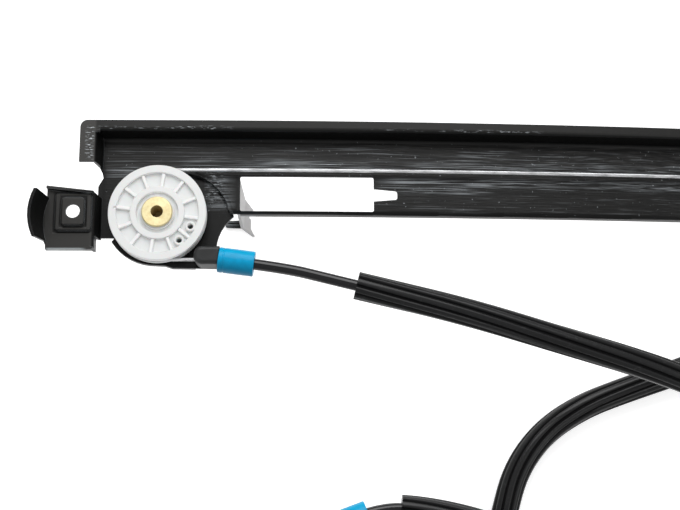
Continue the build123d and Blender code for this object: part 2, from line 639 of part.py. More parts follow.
def drive_insert():
    """The steel insert in the drum, with the splined socket that the drive turns."""
    low, high = CASE_LOW, COVER_LOW + COVER_SHEET + JOURNAL_STAND
    insert = rod(INSERT_R, low, high) - rod(SOCKET_R, low - 1, high + 1)
    for x, y in ring_places(SPLINE_COUNT, SOCKET_R, 0):
        insert -= rod(SPLINE_R, low - 1, high + 1, x, y)
    return DRUM_PLACE * insert


# Stand-off bracket at the lower end
STAND_S = LOWER_S + STAND_START


def stand_rivet_places():
    """The two rivets between the stand-off and the rail, as places on the flat rail."""
    s = STAND_S + STAND_SEAT / 2 - BEND
    middle = STAND_LOW + STAND_WIDTH / 2
    return [(s, middle + side * STAND_RIVET_SPACING / 2) for side in (-1, 1)]


def stand_rivet_holes():
    """The rivet holes through the web and the stand-off's seat."""
    holes = Part() + [rod(STAND_RIVET_R, -4 * SHEET, SHEET, x, y) for x, y in stand_rivet_places()]
    return bend(ARC_END) * holes


def lower_standoff():
    """The bent bracket that holds the lower end off the door panel."""
    def on_rail(s):
        place = (bend(ARC_END) * Pos(s, 0, -SHEET)).position
        return (place.X, place.Z)
    top_start, top_end = on_rail(STAND_S), on_rail(STAND_S + STAND_SEAT)
    knee = (top_end[0] + STAND_REACH, SURFACE + SHEET)
    profile = sheet([top_start, top_end, knee, (knee[0] + FOOT_LENGTH, SURFACE + SHEET)],
                    radii=BEND, side=Side.RIGHT)
    bracket = along_y(profile, STAND_LOW, STAND_LOW + STAND_WIDTH)
    x, y = foot_hole()
    return bracket - rod(BOLT_HOLE_R, SURFACE - 1, SURFACE + 2 * SHEET, x, y) - stand_rivet_holes()


def foot_hole():
    """The middle of the bolt hole in the stand-off's foot."""
    end = (bend(ARC_END) * Pos(STAND_S + STAND_SEAT, 0, -SHEET)).position
    return end.X + STAND_REACH + FOOT_LENGTH / 2 + BEND / 2, STAND_LOW + STAND_WIDTH / 2


def stand_rivets():
    """The two rivets of the stand-off."""
    rivets = []
    for x, y in stand_rivet_places():
        rivet = rod(STAND_RIVET_R, -2 * SHEET, 0, x, y)
        rivet += rod(STAND_RIVET_HEAD_R, 0, STAND_RIVET_HEAD, x, y)
        rivet += rod(STAND_RIVET_HEAD_R, -2 * SHEET - STAND_RIVET_HEAD, -2 * SHEET, x, y)
        rivets.append(bend(ARC_END) * rivet)
    return Compound(children=rivets)


def stop_buffer():
    """The rubber block that stops the carrier at the lower end."""
    start = CARRIER_S + PLATE_HALF + CLEAR
    return bend(ARC_END) * block(start, start + BUFFER_LENGTH, BUFFER_LOW, BUFFER_LOW + BUFFER_WIDTH, 0, FLANGE_TOP)


# Glass carrier
CARRIER = bend(CARRIER_S) * Pos(CARRIER_S, 0, 0)
BASE_TOP = PLATE_FLAT + BASE_HEIGHT
JAW_TOP = BASE_TOP + 2 * PAD_THICKNESS + GLASS_GAP
BASE_RIGHT = BASE_LENGTH / 2
BASE_HIGH = PLATE_KNEE - PLATE_STEP / 2 - BASE_KNEE_GAP
CLAMP_BOLT_X = BASE_RIGHT - BACK_WIDTH / 2


def carrier_plate():
    """The stepped plate that carries the shoes, the cable holder and the glass clamp."""
    profile = sheet([(PLATE_HIGH, PLATE_TOP), (PLATE_KNEE, PLATE_TOP), (PLATE_KNEE - PLATE_STEP / 2, PLATE_FLAT),
                     (PLATE_LOW, PLATE_FLAT), (PLATE_LOW, PLATE_FLAT - PLATE_SKIRT)], thickness=PLATE)
    plate = extrude(Plane.YZ.offset(-PLATE_HALF) * profile, amount=2 * PLATE_HALF)
    plate -= rod(CLAMP_BOLT_R + CLEAR, 0, PLATE_TOP, CLAMP_BOLT_X, CLAMP_BOLT_Y)
    return CARRIER * plate


def upper_shoe(offset_s):
    """A shoe that clasps the rail's flange."""
    low, high = FLANGE_TOP - SHEET - SHOE_GAP, FLANGE_TOP + SHOE_GAP
    outer = FLANGE_EDGE + SHOE_GAP
    section = make_face(Polyline(
        (WALL_TOP - 2, high), (outer, high), (outer, low), (WALL_TOP + SHEET + BEND / 2, low),
        (WALL_TOP + SHEET + BEND / 2, low - 2), (outer + SHOE_WALL, low - 2), (outer + SHOE_WALL, PLATE_TOP - PLATE),
        (WALL_TOP - 2, PLATE_TOP - PLATE), close=True))
    middle = CARRIER_S + offset_s
    return arc_piece(section, middle - UPPER_SHOE_LENGTH / 2, middle + UPPER_SHOE_LENGTH / 2)


def lower_shoe():
    """The shoe that clasps the rail's lip."""
    inner, low = WEB_LOW - SHOE_GAP, -LIP_DEPTH - SHOE_GAP
    toe = WEB_LOW + SHEET - 0.1
    section = make_face(Polyline(
        (PLATE_LOW + PLATE, low - 2), (toe, low - 2), (toe, low), (inner, low), (inner, SHOE_GAP),
        (WEB_LOW + 8, SHOE_GAP), (WEB_LOW + 8, PLATE_FLAT - PLATE), (PLATE_LOW + PLATE, PLATE_FLAT - PLATE), close=True))
    middle = CARRIER_S + LOWER_SHOE_OFFSET
    return arc_piece(section, middle - LOWER_SHOE_LENGTH / 2, middle + LOWER_SHOE_LENGTH / 2)


def cable_channel(radius):
    """The space of the cable past the carrier."""
    section = Pos(CABLE_PITCH_R, CABLE_Z) * Circle(radius)
    return arc_piece(section, CARRIER_S - 2 * HOLDER_LENGTH, CARRIER_S + 2 * HOLDER_LENGTH)


def cable_holder():
    """The moulded block that holds the two cable nipples."""
    half = HOLDER_LENGTH / 2
    low = CABLE_PITCH_R - HOLDER_WIDTH / 2
    holder = block(-half, half, low, low + HOLDER_WIDTH, HOLDER_LIFT, PLATE_FLAT - PLATE)
    holder = CARRIER * (holder - nipple_pocket(-1) - nipple_pocket(1))
    return holder - cable_channel(CABLE_R + CLEAR)


def nipple_pocket(side):
    """The pocket of one nipple, open towards the web."""
    x = side * NIPPLE_OFFSET
    half = NIPPLE_LENGTH / 2
    pocket = bar(NIPPLE_R, x - half, x + half, CABLE_PITCH_R, CABLE_Z)
    return pocket + block(x - half, x + half, CABLE_PITCH_R - NIPPLE_R, CABLE_PITCH_R + NIPPLE_R, 0, CABLE_Z)


def nipple(side):
    """A nipple at a cable's end."""
    x = side * NIPPLE_OFFSET
    body = bar(NIPPLE_R, x - NIPPLE_LENGTH / 2, x + NIPPLE_LENGTH / 2, CABLE_PITCH_R, CABLE_Z)
    return CARRIER * body - cable_channel(CABLE_R + CLEAR)


def clamp_base():
    """The moulded lower jaw of the glass clamp, with the back wall that the glass stops at."""
    left = -BASE_LENGTH / 2
    base = block(left, BASE_RIGHT, BASE_LOW, BASE_HIGH, PLATE_FLAT, BASE_TOP)
    base += block(BASE_RIGHT - BACK_WIDTH, BASE_RIGHT, BASE_LOW, BASE_HIGH, PLATE_FLAT, JAW_TOP)
    base = fillet(base.edges().filter_by(Axis.Z), 2)
    return CARRIER * (base - rod(CLAMP_BOLT_R + CLEAR, 0, JAW_TOP + 1, CLAMP_BOLT_X, CLAMP_BOLT_Y))


def jaw_pad(level):
    """A rubber pad on one jaw of the glass clamp."""
    z = BASE_TOP + level * (PAD_THICKNESS + GLASS_GAP)
    return CARRIER * block(-BASE_LENGTH / 2 + 2, BASE_RIGHT - BACK_WIDTH - CLEAR, BASE_LOW + 1,
                           BASE_HIGH - 1, z, z + PAD_THICKNESS)


def clamp_plate():
    """The upper jaw of the glass clamp."""
    plate = block(-BASE_LENGTH / 2, BASE_RIGHT, BASE_LOW, BASE_HIGH, JAW_TOP, JAW_TOP + PLATE)
    plate = fillet(plate.edges().filter_by(Axis.Z), 4)
    return CARRIER * (plate - rod(CLAMP_BOLT_R + CLEAR, 0, JAW_TOP + PLATE + 1, CLAMP_BOLT_X, CLAMP_BOLT_Y))


def clamp_bolt():
    """The bolt of the glass clamp, with a washer under its head."""
    top = JAW_TOP + PLATE
    bolt = rod(CLAMP_BOLT_R, PLATE_FLAT - PLATE - CLAMP_NUT, top, CLAMP_BOLT_X, CLAMP_BOLT_Y)
    bolt += rod(CLAMP_WASHER_R, top, top + CLAMP_WASHER, CLAMP_BOLT_X, CLAMP_BOLT_Y)
    return CARRIER * (bolt + hexagon(CLAMP_HEAD_R, top, top + CLAMP_WASHER + CLAMP_HEAD, CLAMP_BOLT_X, CLAMP_BOLT_Y))


def clamp_nut():
    """The nut of the glass clamp under the carrier plate."""
    top = PLATE_FLAT - PLATE
    nut = hexagon(CLAMP_HEAD_R, top - CLAMP_NUT, top, CLAMP_BOLT_X, CLAMP_BOLT_Y)
    return CARRIER * (nut - rod(CLAMP_BOLT_R, 0, PLATE_FLAT, CLAMP_BOLT_X, CLAMP_BOLT_Y))


# Conduit routes between the sleeves, points chosen by hand
def along(place, distance):
    """The point at a distance along a place's +X."""
    point = (place * Pos(distance, 0, 0)).position
    return (point.X, point.Y, point.Z)


SLEEVE_OUT = CLEAR + SLEEVE_LENGTH
LOWER_EXIT = bend(ARC_END) * Pos(LOWER_S - SPIGOT_AT, -CABLE_PITCH_R, CABLE_Z) * Rot(0, 0, 180 - LOWER_EXIT_DEG)
DRUM_OUT = EXIT_START + STOP_LENGTH

UPPER_ROUTE = [
    along(exit_place(UPPER_EXIT_DEG), SLEEVE_OUT - CONDUIT_INSET),
    along(exit_place(UPPER_EXIT_DEG), SLEEVE_OUT + 17), (88, -34.1, 4.6), (118.2, -41.5, 4.4), (162, -52, 4), (210, -66.4, 3), (258, -80.6, 1), (304, -97, -6),
    (342, -117, -18), (368, -146, -32), (372, -180, -44), (350, -205, -51), (316, -215, -53), (280, -209.5, -53),
    (246, -195, -51.5), (216, -177.5, -44), (192, -166, -37.3), (165, -156.8, -37), (139, -151.6, -37.8),
    along(drum_exit(0), DRUM_OUT + SLEEVE_OUT + 8),
    along(drum_exit(0), DRUM_OUT + SLEEVE_OUT - CONDUIT_INSET),
]
LOWER_ROUTE = [
    along(LOWER_EXIT, SLEEVE_OUT - CONDUIT_INSET),
    along(LOWER_EXIT, SLEEVE_OUT + 26),
    (355, -50, -23), (321, -63.5, -39), (288, -76, -50.5), (254, -87, -53), (231.5, -95.5, -53), (209.5, -109.5, -53),
    (193.5, -130, -53), (186, -154, -53), (181.5, -173, -53), (168.5, -188, -50.5),
    along(drum_exit(1), DRUM_OUT + SLEEVE_OUT + 22),
    along(drum_exit(1), DRUM_OUT + SLEEVE_OUT - CONDUIT_INSET),
]
ARC_SHARE = 0.45


def corner_radii(points):
    """The radius of each corner, as large as its two runs allow."""
    radii = []
    for before, here, after in zip(points, points[1:], points[2:]):
        first, second = Vector(*here) - Vector(*before), Vector(*after) - Vector(*here)
        half = math.radians(first.get_angle(second)) / 2
        radii.append(ARC_SHARE * min(first.length, second.length) / math.tan(half))
    return radii


def tube(points, radii, outer, bore):
    """A round tube along straight runs joined by tangent arcs."""
    path = FilletPolyline(*points, radius=radii)
    section = Circle(outer) - Circle(bore) if bore else Circle(outer)
    return sweep(Plane(origin=path @ 0, z_dir=path % 0) * section, path=path)


def middle_of(points, run):
    """The middle of one run of a route."""
    return tuple((a + b) / 2 for a, b in zip(points[run], points[run + 1]))


def conduit(route):
    return tube(route, corner_radii(route), CONDUIT_R, CONDUIT_BORE_R)


def fluted_sleeve(route, first, last):
    """The sleeve over a conduit, from the middle of one run to the middle of another."""
    points = [middle_of(route, first)] + route[first + 1:last + 1] + [middle_of(route, last)]
    return tube(points, corner_radii(route)[first:last], FLUTED_R, CONDUIT_R + CLEAR)


def cable(rail_part, pulley_wrap, entry, route, drum_index):
    """A steel cable from the carrier over a pulley and through its conduit to the drum."""
    tangent = along(drum_exit(drum_index), 0)
    points = [pulley_wrap @ 1, entry] + route[1:-1] + [tangent]
    run = FilletPolyline(*points, radius=[STOP_BORE_BEND] + corner_radii(route))
    side = -1 if drum_index else 1
    z = DRUM_CABLE_Z - drum_index * GROOVE_PITCH
    start = EXIT_DEG[drum_index] + side * 90
    places = [math.radians(start + side * a) for a in (0, 150, 300)]
    winding = ThreePointArc(*[(DRUM_X + DRUM_PITCH_R * math.cos(a), DRUM_Y + DRUM_PITCH_R * math.sin(a), z)
                              for a in places])
    path = Wire([*rail_part, *pulley_wrap.edges(), *run.edges(), *winding.edges()])
    return sweep(Plane(origin=path @ 0, z_dir=path % 0) * Circle(CABLE_R), path=path)


def rail_arc(s0, s1):
    """The cable's line along the rail's arc."""
    points = [(turn(s) * Pos(ARC_START, CABLE_PITCH_R, CABLE_Z)).position for s in (s0, (s0 + s1) / 2, s1)]
    return ThreePointArc(*points).edge()


def pulley_turn(place):
    """The cable's half turn round a pulley, from the rail's side to the conduit's side."""
    points = [(place * Pos(x, y, CABLE_Z)).position for x, y in
              ((0, CABLE_PITCH_R), (-CABLE_PITCH_R, 0), (0, -CABLE_PITCH_R))]
    return ThreePointArc(*points)


def upper_cable():
    wrap = pulley_turn(Pos(0, 0, 0))
    rail_part = [rail_arc(CARRIER_S, ARC_START), Line((ARC_START, CABLE_PITCH_R, CABLE_Z), wrap @ 0).edge()]
    return cable(rail_part, wrap, along(exit_place(UPPER_EXIT_DEG), 0), UPPER_ROUTE, 0)


def lower_cable():
    wrap = pulley_turn(bend(ARC_END) * Pos(LOWER_S, 0, 0) * Rot(0, 180, 0) * Pos(0, 0, -2 * CABLE_Z))
    end = (bend(ARC_END) * Pos(ARC_END, CABLE_PITCH_R, CABLE_Z)).position
    rail_part = [rail_arc(CARRIER_S, ARC_END), Line(end, wrap @ 0).edge()]
    return cable(rail_part, wrap, along(LOWER_EXIT, 0), LOWER_ROUTE, 1)


def lower_sleeve_place(thing):
    """Puts a thing drawn along +X from a spigot's root onto the lower pulley's spigot."""
    return LOWER_EXIT * thing


def drum_sleeve_place(index):
    return drum_exit(index) * Pos(DRUM_OUT, 0, 0)


NODES = {
    "guide_rail": guide_rail(),
    "upper_pulley": pulley(),
    "lower_pulley": lower_end(pulley()),
    "upper_pulley_rivet": pulley_rivet(),
    "lower_pulley_rivet": lower_end(pulley_rivet()),
    "upper_conduit_stop": conduit_stop(UPPER_EXIT_DEG),
    "lower_conduit_stop": lower_end(conduit_stop(LOWER_EXIT_DEG)),
    "upper_spring_sleeve": exit_place(UPPER_EXIT_DEG) * spring_sleeve(),
    "lower_spring_sleeve": lower_sleeve_place(spring_sleeve()),
    "drum_spring_sleeve_a": drum_sleeve_place(0) * spring_sleeve(),
    "drum_spring_sleeve_b": drum_sleeve_place(1) * spring_sleeve(),
    "upper_takeup_spring": exit_place(UPPER_EXIT_DEG) * takeup_spring(),
    "lower_takeup_spring": lower_sleeve_place(takeup_spring()),
    "drum_takeup_spring_a": drum_sleeve_place(0) * takeup_spring(),
    "drum_takeup_spring_b": drum_sleeve_place(1) * takeup_spring(),
    "upper_conduit": conduit(UPPER_ROUTE),
    "lower_conduit": conduit(LOWER_ROUTE),
    "upper_fluted_sleeve": fluted_sleeve(UPPER_ROUTE, 2, 18),
    "lower_fluted_sleeve": fluted_sleeve(LOWER_ROUTE, 1, 11),
    "upper_cable": upper_cable(),
    "lower_cable": lower_cable(),
    "drum_housing": drum_housing(),
    "drum_cover": drum_cover(),
    "cover_screws": cover_screws(),
    "mounting_bushes": mounting_bushes(),
    "cable_drum": cable_drum(),
    "drive_insert": drive_insert(),
    "lower_standoff": lower_standoff(),
    "standoff_rivets": stand_rivets(),
    "stop_buffer": stop_buffer(),
    "carrier_plate": carrier_plate(),
    "upper_shoe_front": upper_shoe(-UPPER_SHOE_OFFSET),
    "upper_shoe_rear": upper_shoe(UPPER_SHOE_OFFSET),
    "lower_shoe": lower_shoe(),
    "cable_holder": cable_holder(),
    "upper_cable_nipple": nipple(-1),
    "lower_cable_nipple": nipple(1),
    "clamp_base": clamp_base(),
    "inner_jaw_pad": jaw_pad(0),
    "outer_jaw_pad": jaw_pad(1),
    "clamp_plate": clamp_plate(),
    "clamp_bolt": clamp_bolt(),
    "clamp_nut": clamp_nut(),
}

os.makedirs("parts", exist_ok=True)
for name, solid in NODES.items():
    export_step(solid, f"parts/{name}.step")

for name, route in (("upper conduit", UPPER_ROUTE), ("lower conduit", LOWER_ROUTE)):
    radii = corner_radii(route)
    path = FilletPolyline(*route, radius=radii)
    made = conduit(route).volume
    meant = math.pi * (CONDUIT_R ** 2 - CONDUIT_BORE_R ** 2) * path.length
    print(name, "length", round(path.length), "radii", [round(r) for r in radii], "volume share", round(made / meant, 4))
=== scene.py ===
import math

import bpy
from mathutils import Matrix, Vector


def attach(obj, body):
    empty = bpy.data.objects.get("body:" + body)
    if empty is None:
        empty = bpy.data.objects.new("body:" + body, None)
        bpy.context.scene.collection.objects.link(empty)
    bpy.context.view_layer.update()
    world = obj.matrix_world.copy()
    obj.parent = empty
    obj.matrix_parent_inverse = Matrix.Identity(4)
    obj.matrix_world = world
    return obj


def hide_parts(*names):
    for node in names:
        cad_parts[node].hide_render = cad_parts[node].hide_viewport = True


# The looks of a cable window regulator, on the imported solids. Metres, in the part's own frame.

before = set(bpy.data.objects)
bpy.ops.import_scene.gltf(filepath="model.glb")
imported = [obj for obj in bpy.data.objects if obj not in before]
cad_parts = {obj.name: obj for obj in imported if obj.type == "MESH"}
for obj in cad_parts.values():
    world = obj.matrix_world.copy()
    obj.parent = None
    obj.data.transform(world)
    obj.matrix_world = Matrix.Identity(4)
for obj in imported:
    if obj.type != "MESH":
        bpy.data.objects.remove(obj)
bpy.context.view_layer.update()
scene = bpy.context.scene
FIXED = "rail_and_housing"
MM = 0.001

# The rail's shape: flat to ARC_START, then an arc of ARC_LENGTH, then flat again
RAIL_RADIUS = 3.0
ARC_START = 0.030
ARC_LENGTH = 0.410
LOWER_S = 0.470
CARRIER_S = 0.395
SURFACE_Z = -0.0605

# The photograph's view
CAMERA_LENS = 66.47
SENSOR_WIDTH = 36
CAMERA_PLACE = (0.07455, -0.16524, 0.64481)
CAMERA_ANGLES = (12.6346, -1.7878, -0.3275)

# The steel cable: its place beside the pulleys' axes, where it ends in the stops, and its wires
CABLE_Y = 24.3 * MM
CABLE_Z = 4.6 * MM
CABLE_END_X = 22 * MM
WIRES = 7
LAY_R = 0.62 * MM
WIRE_R = 0.33 * MM
LAY_PITCH = 14 * MM
WIRE_STEP = 1.2 * MM
HALF_ROUND_STEPS = 24

# The conduits and the fluted sleeves over them
CONDUIT_D = 5.9 * MM
FLUTED_R = 7.3 * MM
FLUTES = 9
GROOVE_DEPTH = 1.7 * MM
FLUTED_STEP = 4 * MM

# The blue spring sleeves, with the ring pressed in near the mouth
SLEEVE_R = 6.6 * MM
SLEEVE_LENGTH = 18.7 * MM
SLEEVE_GAP = 0.3 * MM
SLEEVE_WALL = 1.2 * MM
SLEEVE_END = 1.5 * MM
SLEEVE_HOLE_R = 3.2 * MM
SLEEVE_EDGE = 0.5 * MM
RING_AT = 2.4 * MM
RING_WIDTH = 0.8 * MM
RING_DEPTH = 0.22 * MM
RING_SLOPE = 0.1 * MM

# Roots of the spigots that carry the sleeves, and the ways that they point, in degrees
SPIGOT_X = 0.0318
UPPER_SPIGOT_TURN = -7.5
LOWER_SPIGOT_TURN = 195
DRUM_SPIGOT_X = 0.0285
DRUM_PITCH_R = 0.022
DRUM = Vector((0.0735, -0.190, 0))

# Control points of the conduits' smooth curves, from the pulley's stop to the drum
UPPER_ROUTE = [
    (0.04072, -0.02547, 0.0046), (0.06749, -0.029, 0.0046), (0.088, -0.0341, 0.0046),
    (0.1182, -0.0415, 0.0044), (0.162, -0.052, 0.004), (0.21, -0.0664, 0.003),
    (0.258, -0.0806, 0.001), (0.304, -0.097, -0.006), (0.342, -0.117, -0.018),
    (0.368, -0.146, -0.032), (0.372, -0.18, -0.044), (0.35, -0.205, -0.051),
    (0.316, -0.215, -0.053), (0.28, -0.2095, -0.053), (0.246, -0.195, -0.0515),
    (0.216, -0.1775, -0.044), (0.192, -0.166, -0.0373), (0.165, -0.1568, -0.037),
    (0.139, -0.1516, -0.0378), (0.11813, -0.15034, -0.038), (0.10121, -0.1565, -0.038),
]
LOWER_ROUTE = [
    (0.42896, -0.02663, -0.02199), (0.39451, -0.03595, -0.01725), (0.355, -0.05, -0.023),
    (0.321, -0.0635, -0.039), (0.288, -0.076, -0.0505), (0.254, -0.087, -0.053),
    (0.2315, -0.0955, -0.053), (0.2095, -0.1095, -0.053), (0.1935, -0.13, -0.053),
    (0.186, -0.154, -0.053), (0.1815, -0.173, -0.053), (0.1685, -0.188, -0.0505),
    (0.14606, -0.19707, -0.042), (0.11475, -0.20372, -0.042),
]


def add_camera():
    """The photograph's view, from above the upper end."""
    camera = bpy.data.cameras.new("camera")
    camera.lens = CAMERA_LENS
    camera.sensor_width = SENSOR_WIDTH
    holder = bpy.data.objects.new("camera", camera)
    holder.location = CAMERA_PLACE
    holder.rotation_euler = [math.radians(a) for a in CAMERA_ANGLES]
    scene.collection.objects.link(holder)
    scene.camera = holder


class Graph:
    """A node tree, with one method that adds any node."""

    def __init__(self, tree):
        self.tree = tree

    def add(self, kind, settings=None, **inputs):
        """Adds a node, makes its settings first, then gives its sockets values or links."""
        node = self.tree.nodes.new(kind)
        for key, value in (settings or {}).items():
            setattr(node, key, value)
        for key, value in inputs.items():
            self.feed(find_socket(node.inputs, key), value)
        return node

    def feed(self, socket, value):
        """Gives a socket a link or a value. A colour may leave out its alpha."""
        if isinstance(value, Number):
            value = value.socket
        if isinstance(value, bpy.types.NodeSocket):
            self.tree.links.new(value, socket)
        elif socket.type == "RGBA" and len(value) == 3:
            socket.default_value = (*value, 1)
        else:
            socket.default_value = value

    def number(self, node, output=0):
        """A node's output, as a number that takes Python arithmetic."""
        return Number(self, node.outputs[output])


class Number:
    """A value that varies over a piece. Python arithmetic on it adds Math nodes."""

    def __init__(self, graph, socket):
        self.graph = graph
        self.socket = socket

    def math(self, operation, *values):
        """The result of one Math node on the values given."""
        node = self.graph.add("ShaderNodeMath", {"operation": operation})
        for socket, value in zip(node.inputs, values):
            self.graph.feed(socket, value)
        return self.graph.number(node)

    def __add__(self, other):
        return self.math("ADD", self, other)

    def __radd__(self, other):
        return self.math("ADD", other, self)

    def __sub__(self, other):
        return self.math("SUBTRACT", self, other)

    def __rsub__(self, other):
        return self.math("SUBTRACT", other, self)

    def __mul__(self, other):
        return self.math("MULTIPLY", self, other)

    def __rmul__(self, other):
        return self.math("MULTIPLY", other, self)

    def __truediv__(self, other):
        return self.math("DIVIDE", self, other)

    def __pow__(self, other):
        return self.math("POWER", self, other)

    def __abs__(self):
        return self.math("ABSOLUTE", self)

    def clip(self, low, high):
        """Runs from 0 at low to 1 at high, and stays there."""
        node = self.graph.add("ShaderNodeMapRange", Value=self, From_Min=low, From_Max=high)
        return self.graph.number(node)


def find_socket(sockets, key):
    """The input with that name, or with the number after "at"."""
    name = key.replace("_", " ")
    if name.startswith("at "):
        return sockets[int(name[3:])]
    return sockets[name]


BEVEL_SAMPLES = 4


class Finish(Graph):
    """A material with a principled shader and a place in millimetres for its patterns."""

    def __init__(self, name):
        self.material = bpy.data.materials.new(name)
        self.material.use_nodes = True
        super().__init__(self.material.node_tree)
        self.tree.nodes.clear()
        coordinates = self.add("ShaderNodeTexCoord")
        scaled = self.add("ShaderNodeVectorMath", {"operation": "SCALE"},
                          Vector=coordinates.outputs["Object"], Scale=1 / MM)
        self.place = scaled.outputs[0]
        self.shader = self.add("ShaderNodeBsdfPrincipled")
        self.add("ShaderNodeOutputMaterial", Surface=self.shader.outputs[0])

    def axes(self, turn=None):
        """X, Y and Z in millimetres, along a piece's own axes if their place and turn are given."""
        place = self.place
        if turn is not None:
            place = self.add("ShaderNodeMapping", {"vector_type": "TEXTURE"}, Vector=place,
                             Location=turn[0], Rotation=turn[1]).outputs[0]
        split = self.add("ShaderNodeSeparateXYZ", Vector=place)
        return [self.number(split, i) for i in range(3)]

    def noise(self, stretch, detail=3.0, roughness=0.5, place=None):
        """Noise from about 0 to 1, where stretch is its waves in a millimetre of X, Y and Z."""
        scaled = self.add("ShaderNodeVectorMath", {"operation": "MULTIPLY"},
                          at_0=place or self.place, at_1=stretch)
        node = self.add("ShaderNodeTexNoise", Vector=scaled.outputs[0], Scale=1.0,
                        Detail=detail, Roughness=roughness)
        return self.number(node)

    def mix(self, share, first, second):
        """A colour between two colours."""
        node = self.add("ShaderNodeMix", {"data_type": "RGBA"}, at_0=share, at_6=first, at_7=second)
        return node.outputs[2]

    def facing(self, letter):
        """How far the surface points along X, Y or Z."""
        geometry = self.add("ShaderNodeNewGeometry")
        node = self.add("ShaderNodeSeparateXYZ", Vector=geometry.outputs["Normal"])
        return self.number(node, "XYZ".index(letter))

    def soft_edges(self, radius_mm):
        """A normal that rounds the edges."""
        node = self.add("ShaderNodeBevel", {"samples": BEVEL_SAMPLES}, Radius=radius_mm * MM)
        return node.outputs[0]

    def edge_mask(self, rounded):
        """Near 1 on the edges that soft_edges rounds."""
        geometry = self.add("ShaderNodeNewGeometry")
        dot = self.add("ShaderNodeVectorMath", {"operation": "DOT_PRODUCT"},
                       at_0=rounded, at_1=geometry.outputs["Normal"])
        return (1 - self.number(dot, "Value")).clip(0.01, 0.2)

    def set(self, **inputs):
        """Gives the shader's sockets values or links."""
        for key, value in inputs.items():
            self.feed(find_socket(self.shader.inputs, key), value)

    def relief(self, height, depth_mm, normal=None):
        """Raises the surface by a height from 0 to 1 times a depth."""
        node = self.add("ShaderNodeBump", Height=height, Distance=depth_mm * MM, Strength=1.0)
        if normal is not None:
            self.tree.links.new(normal, node.inputs["Normal"])
        self.set(Normal=node.outputs[0])


# Marks on the painted steel, in millimetres. A patch is its strength, its start and end along X,
# its start and end along Y, and how far its borders fade along X and Y.
# Grease marks, painted pale as their glints
THICK_GREASE = [
    (0.8, 20, 118, 26.5, 30.5, 10, 1.5), (0.75, 122, 172, 14, 21, 8, 1.5),
    (0.35, 170, 330, 17, 22, 14, 1.5), (0.45, 118, 420, 26.5, 30, 14, 1.5),
    (0.8, -27, -12, 21.5, 27.5, 3, 1.5), (0.5, 26, 38, 4, 21, 3, 3),
]
THIN_GREASE = [(0.28, -24, 430, 26, 39, 10, 2), (0.12, 118, 430, 3, 22, 10, 2)]
# Painted glints along the flange's bend, on grease
LEDGE_GREASE_GLINTS = [(1.0, -30, 34, 43.6, 46.2, 6, 0.5), (0.8, 118, 196, 43.4, 45.4, 12, 0.5)]
SEAT_MIDDLE = (11.37, -2.68)
SEAT_EDGE_R = 26.67
BOSS_MIDDLE = (-42.6, -1.0)
BOSS_SIZES = ((19.0, 20.0), (12.0, 15.0))

# Colours of the painted steel
PAINT = (0.0028, 0.0029, 0.0028)
FADED_PAINT = (0.040, 0.039, 0.037)
SHADED_PAINT = (0.0012, 0.0012, 0.0012)
BOSS_SHADE = (0.0015, 0.0015, 0.0015)
# Pale colour of the grease: painted glints on clear grease
GREASE_GLINT = (0.55, 0.59, 0.62)
EDGE_WEAR_AND_HIGHLIGHT = (0.30, 0.33, 0.35)
RIM_HIGHLIGHT = (0.50, 0.55, 0.57)
FIN_REFLECTION = (0.50, 0.49, 0.49)


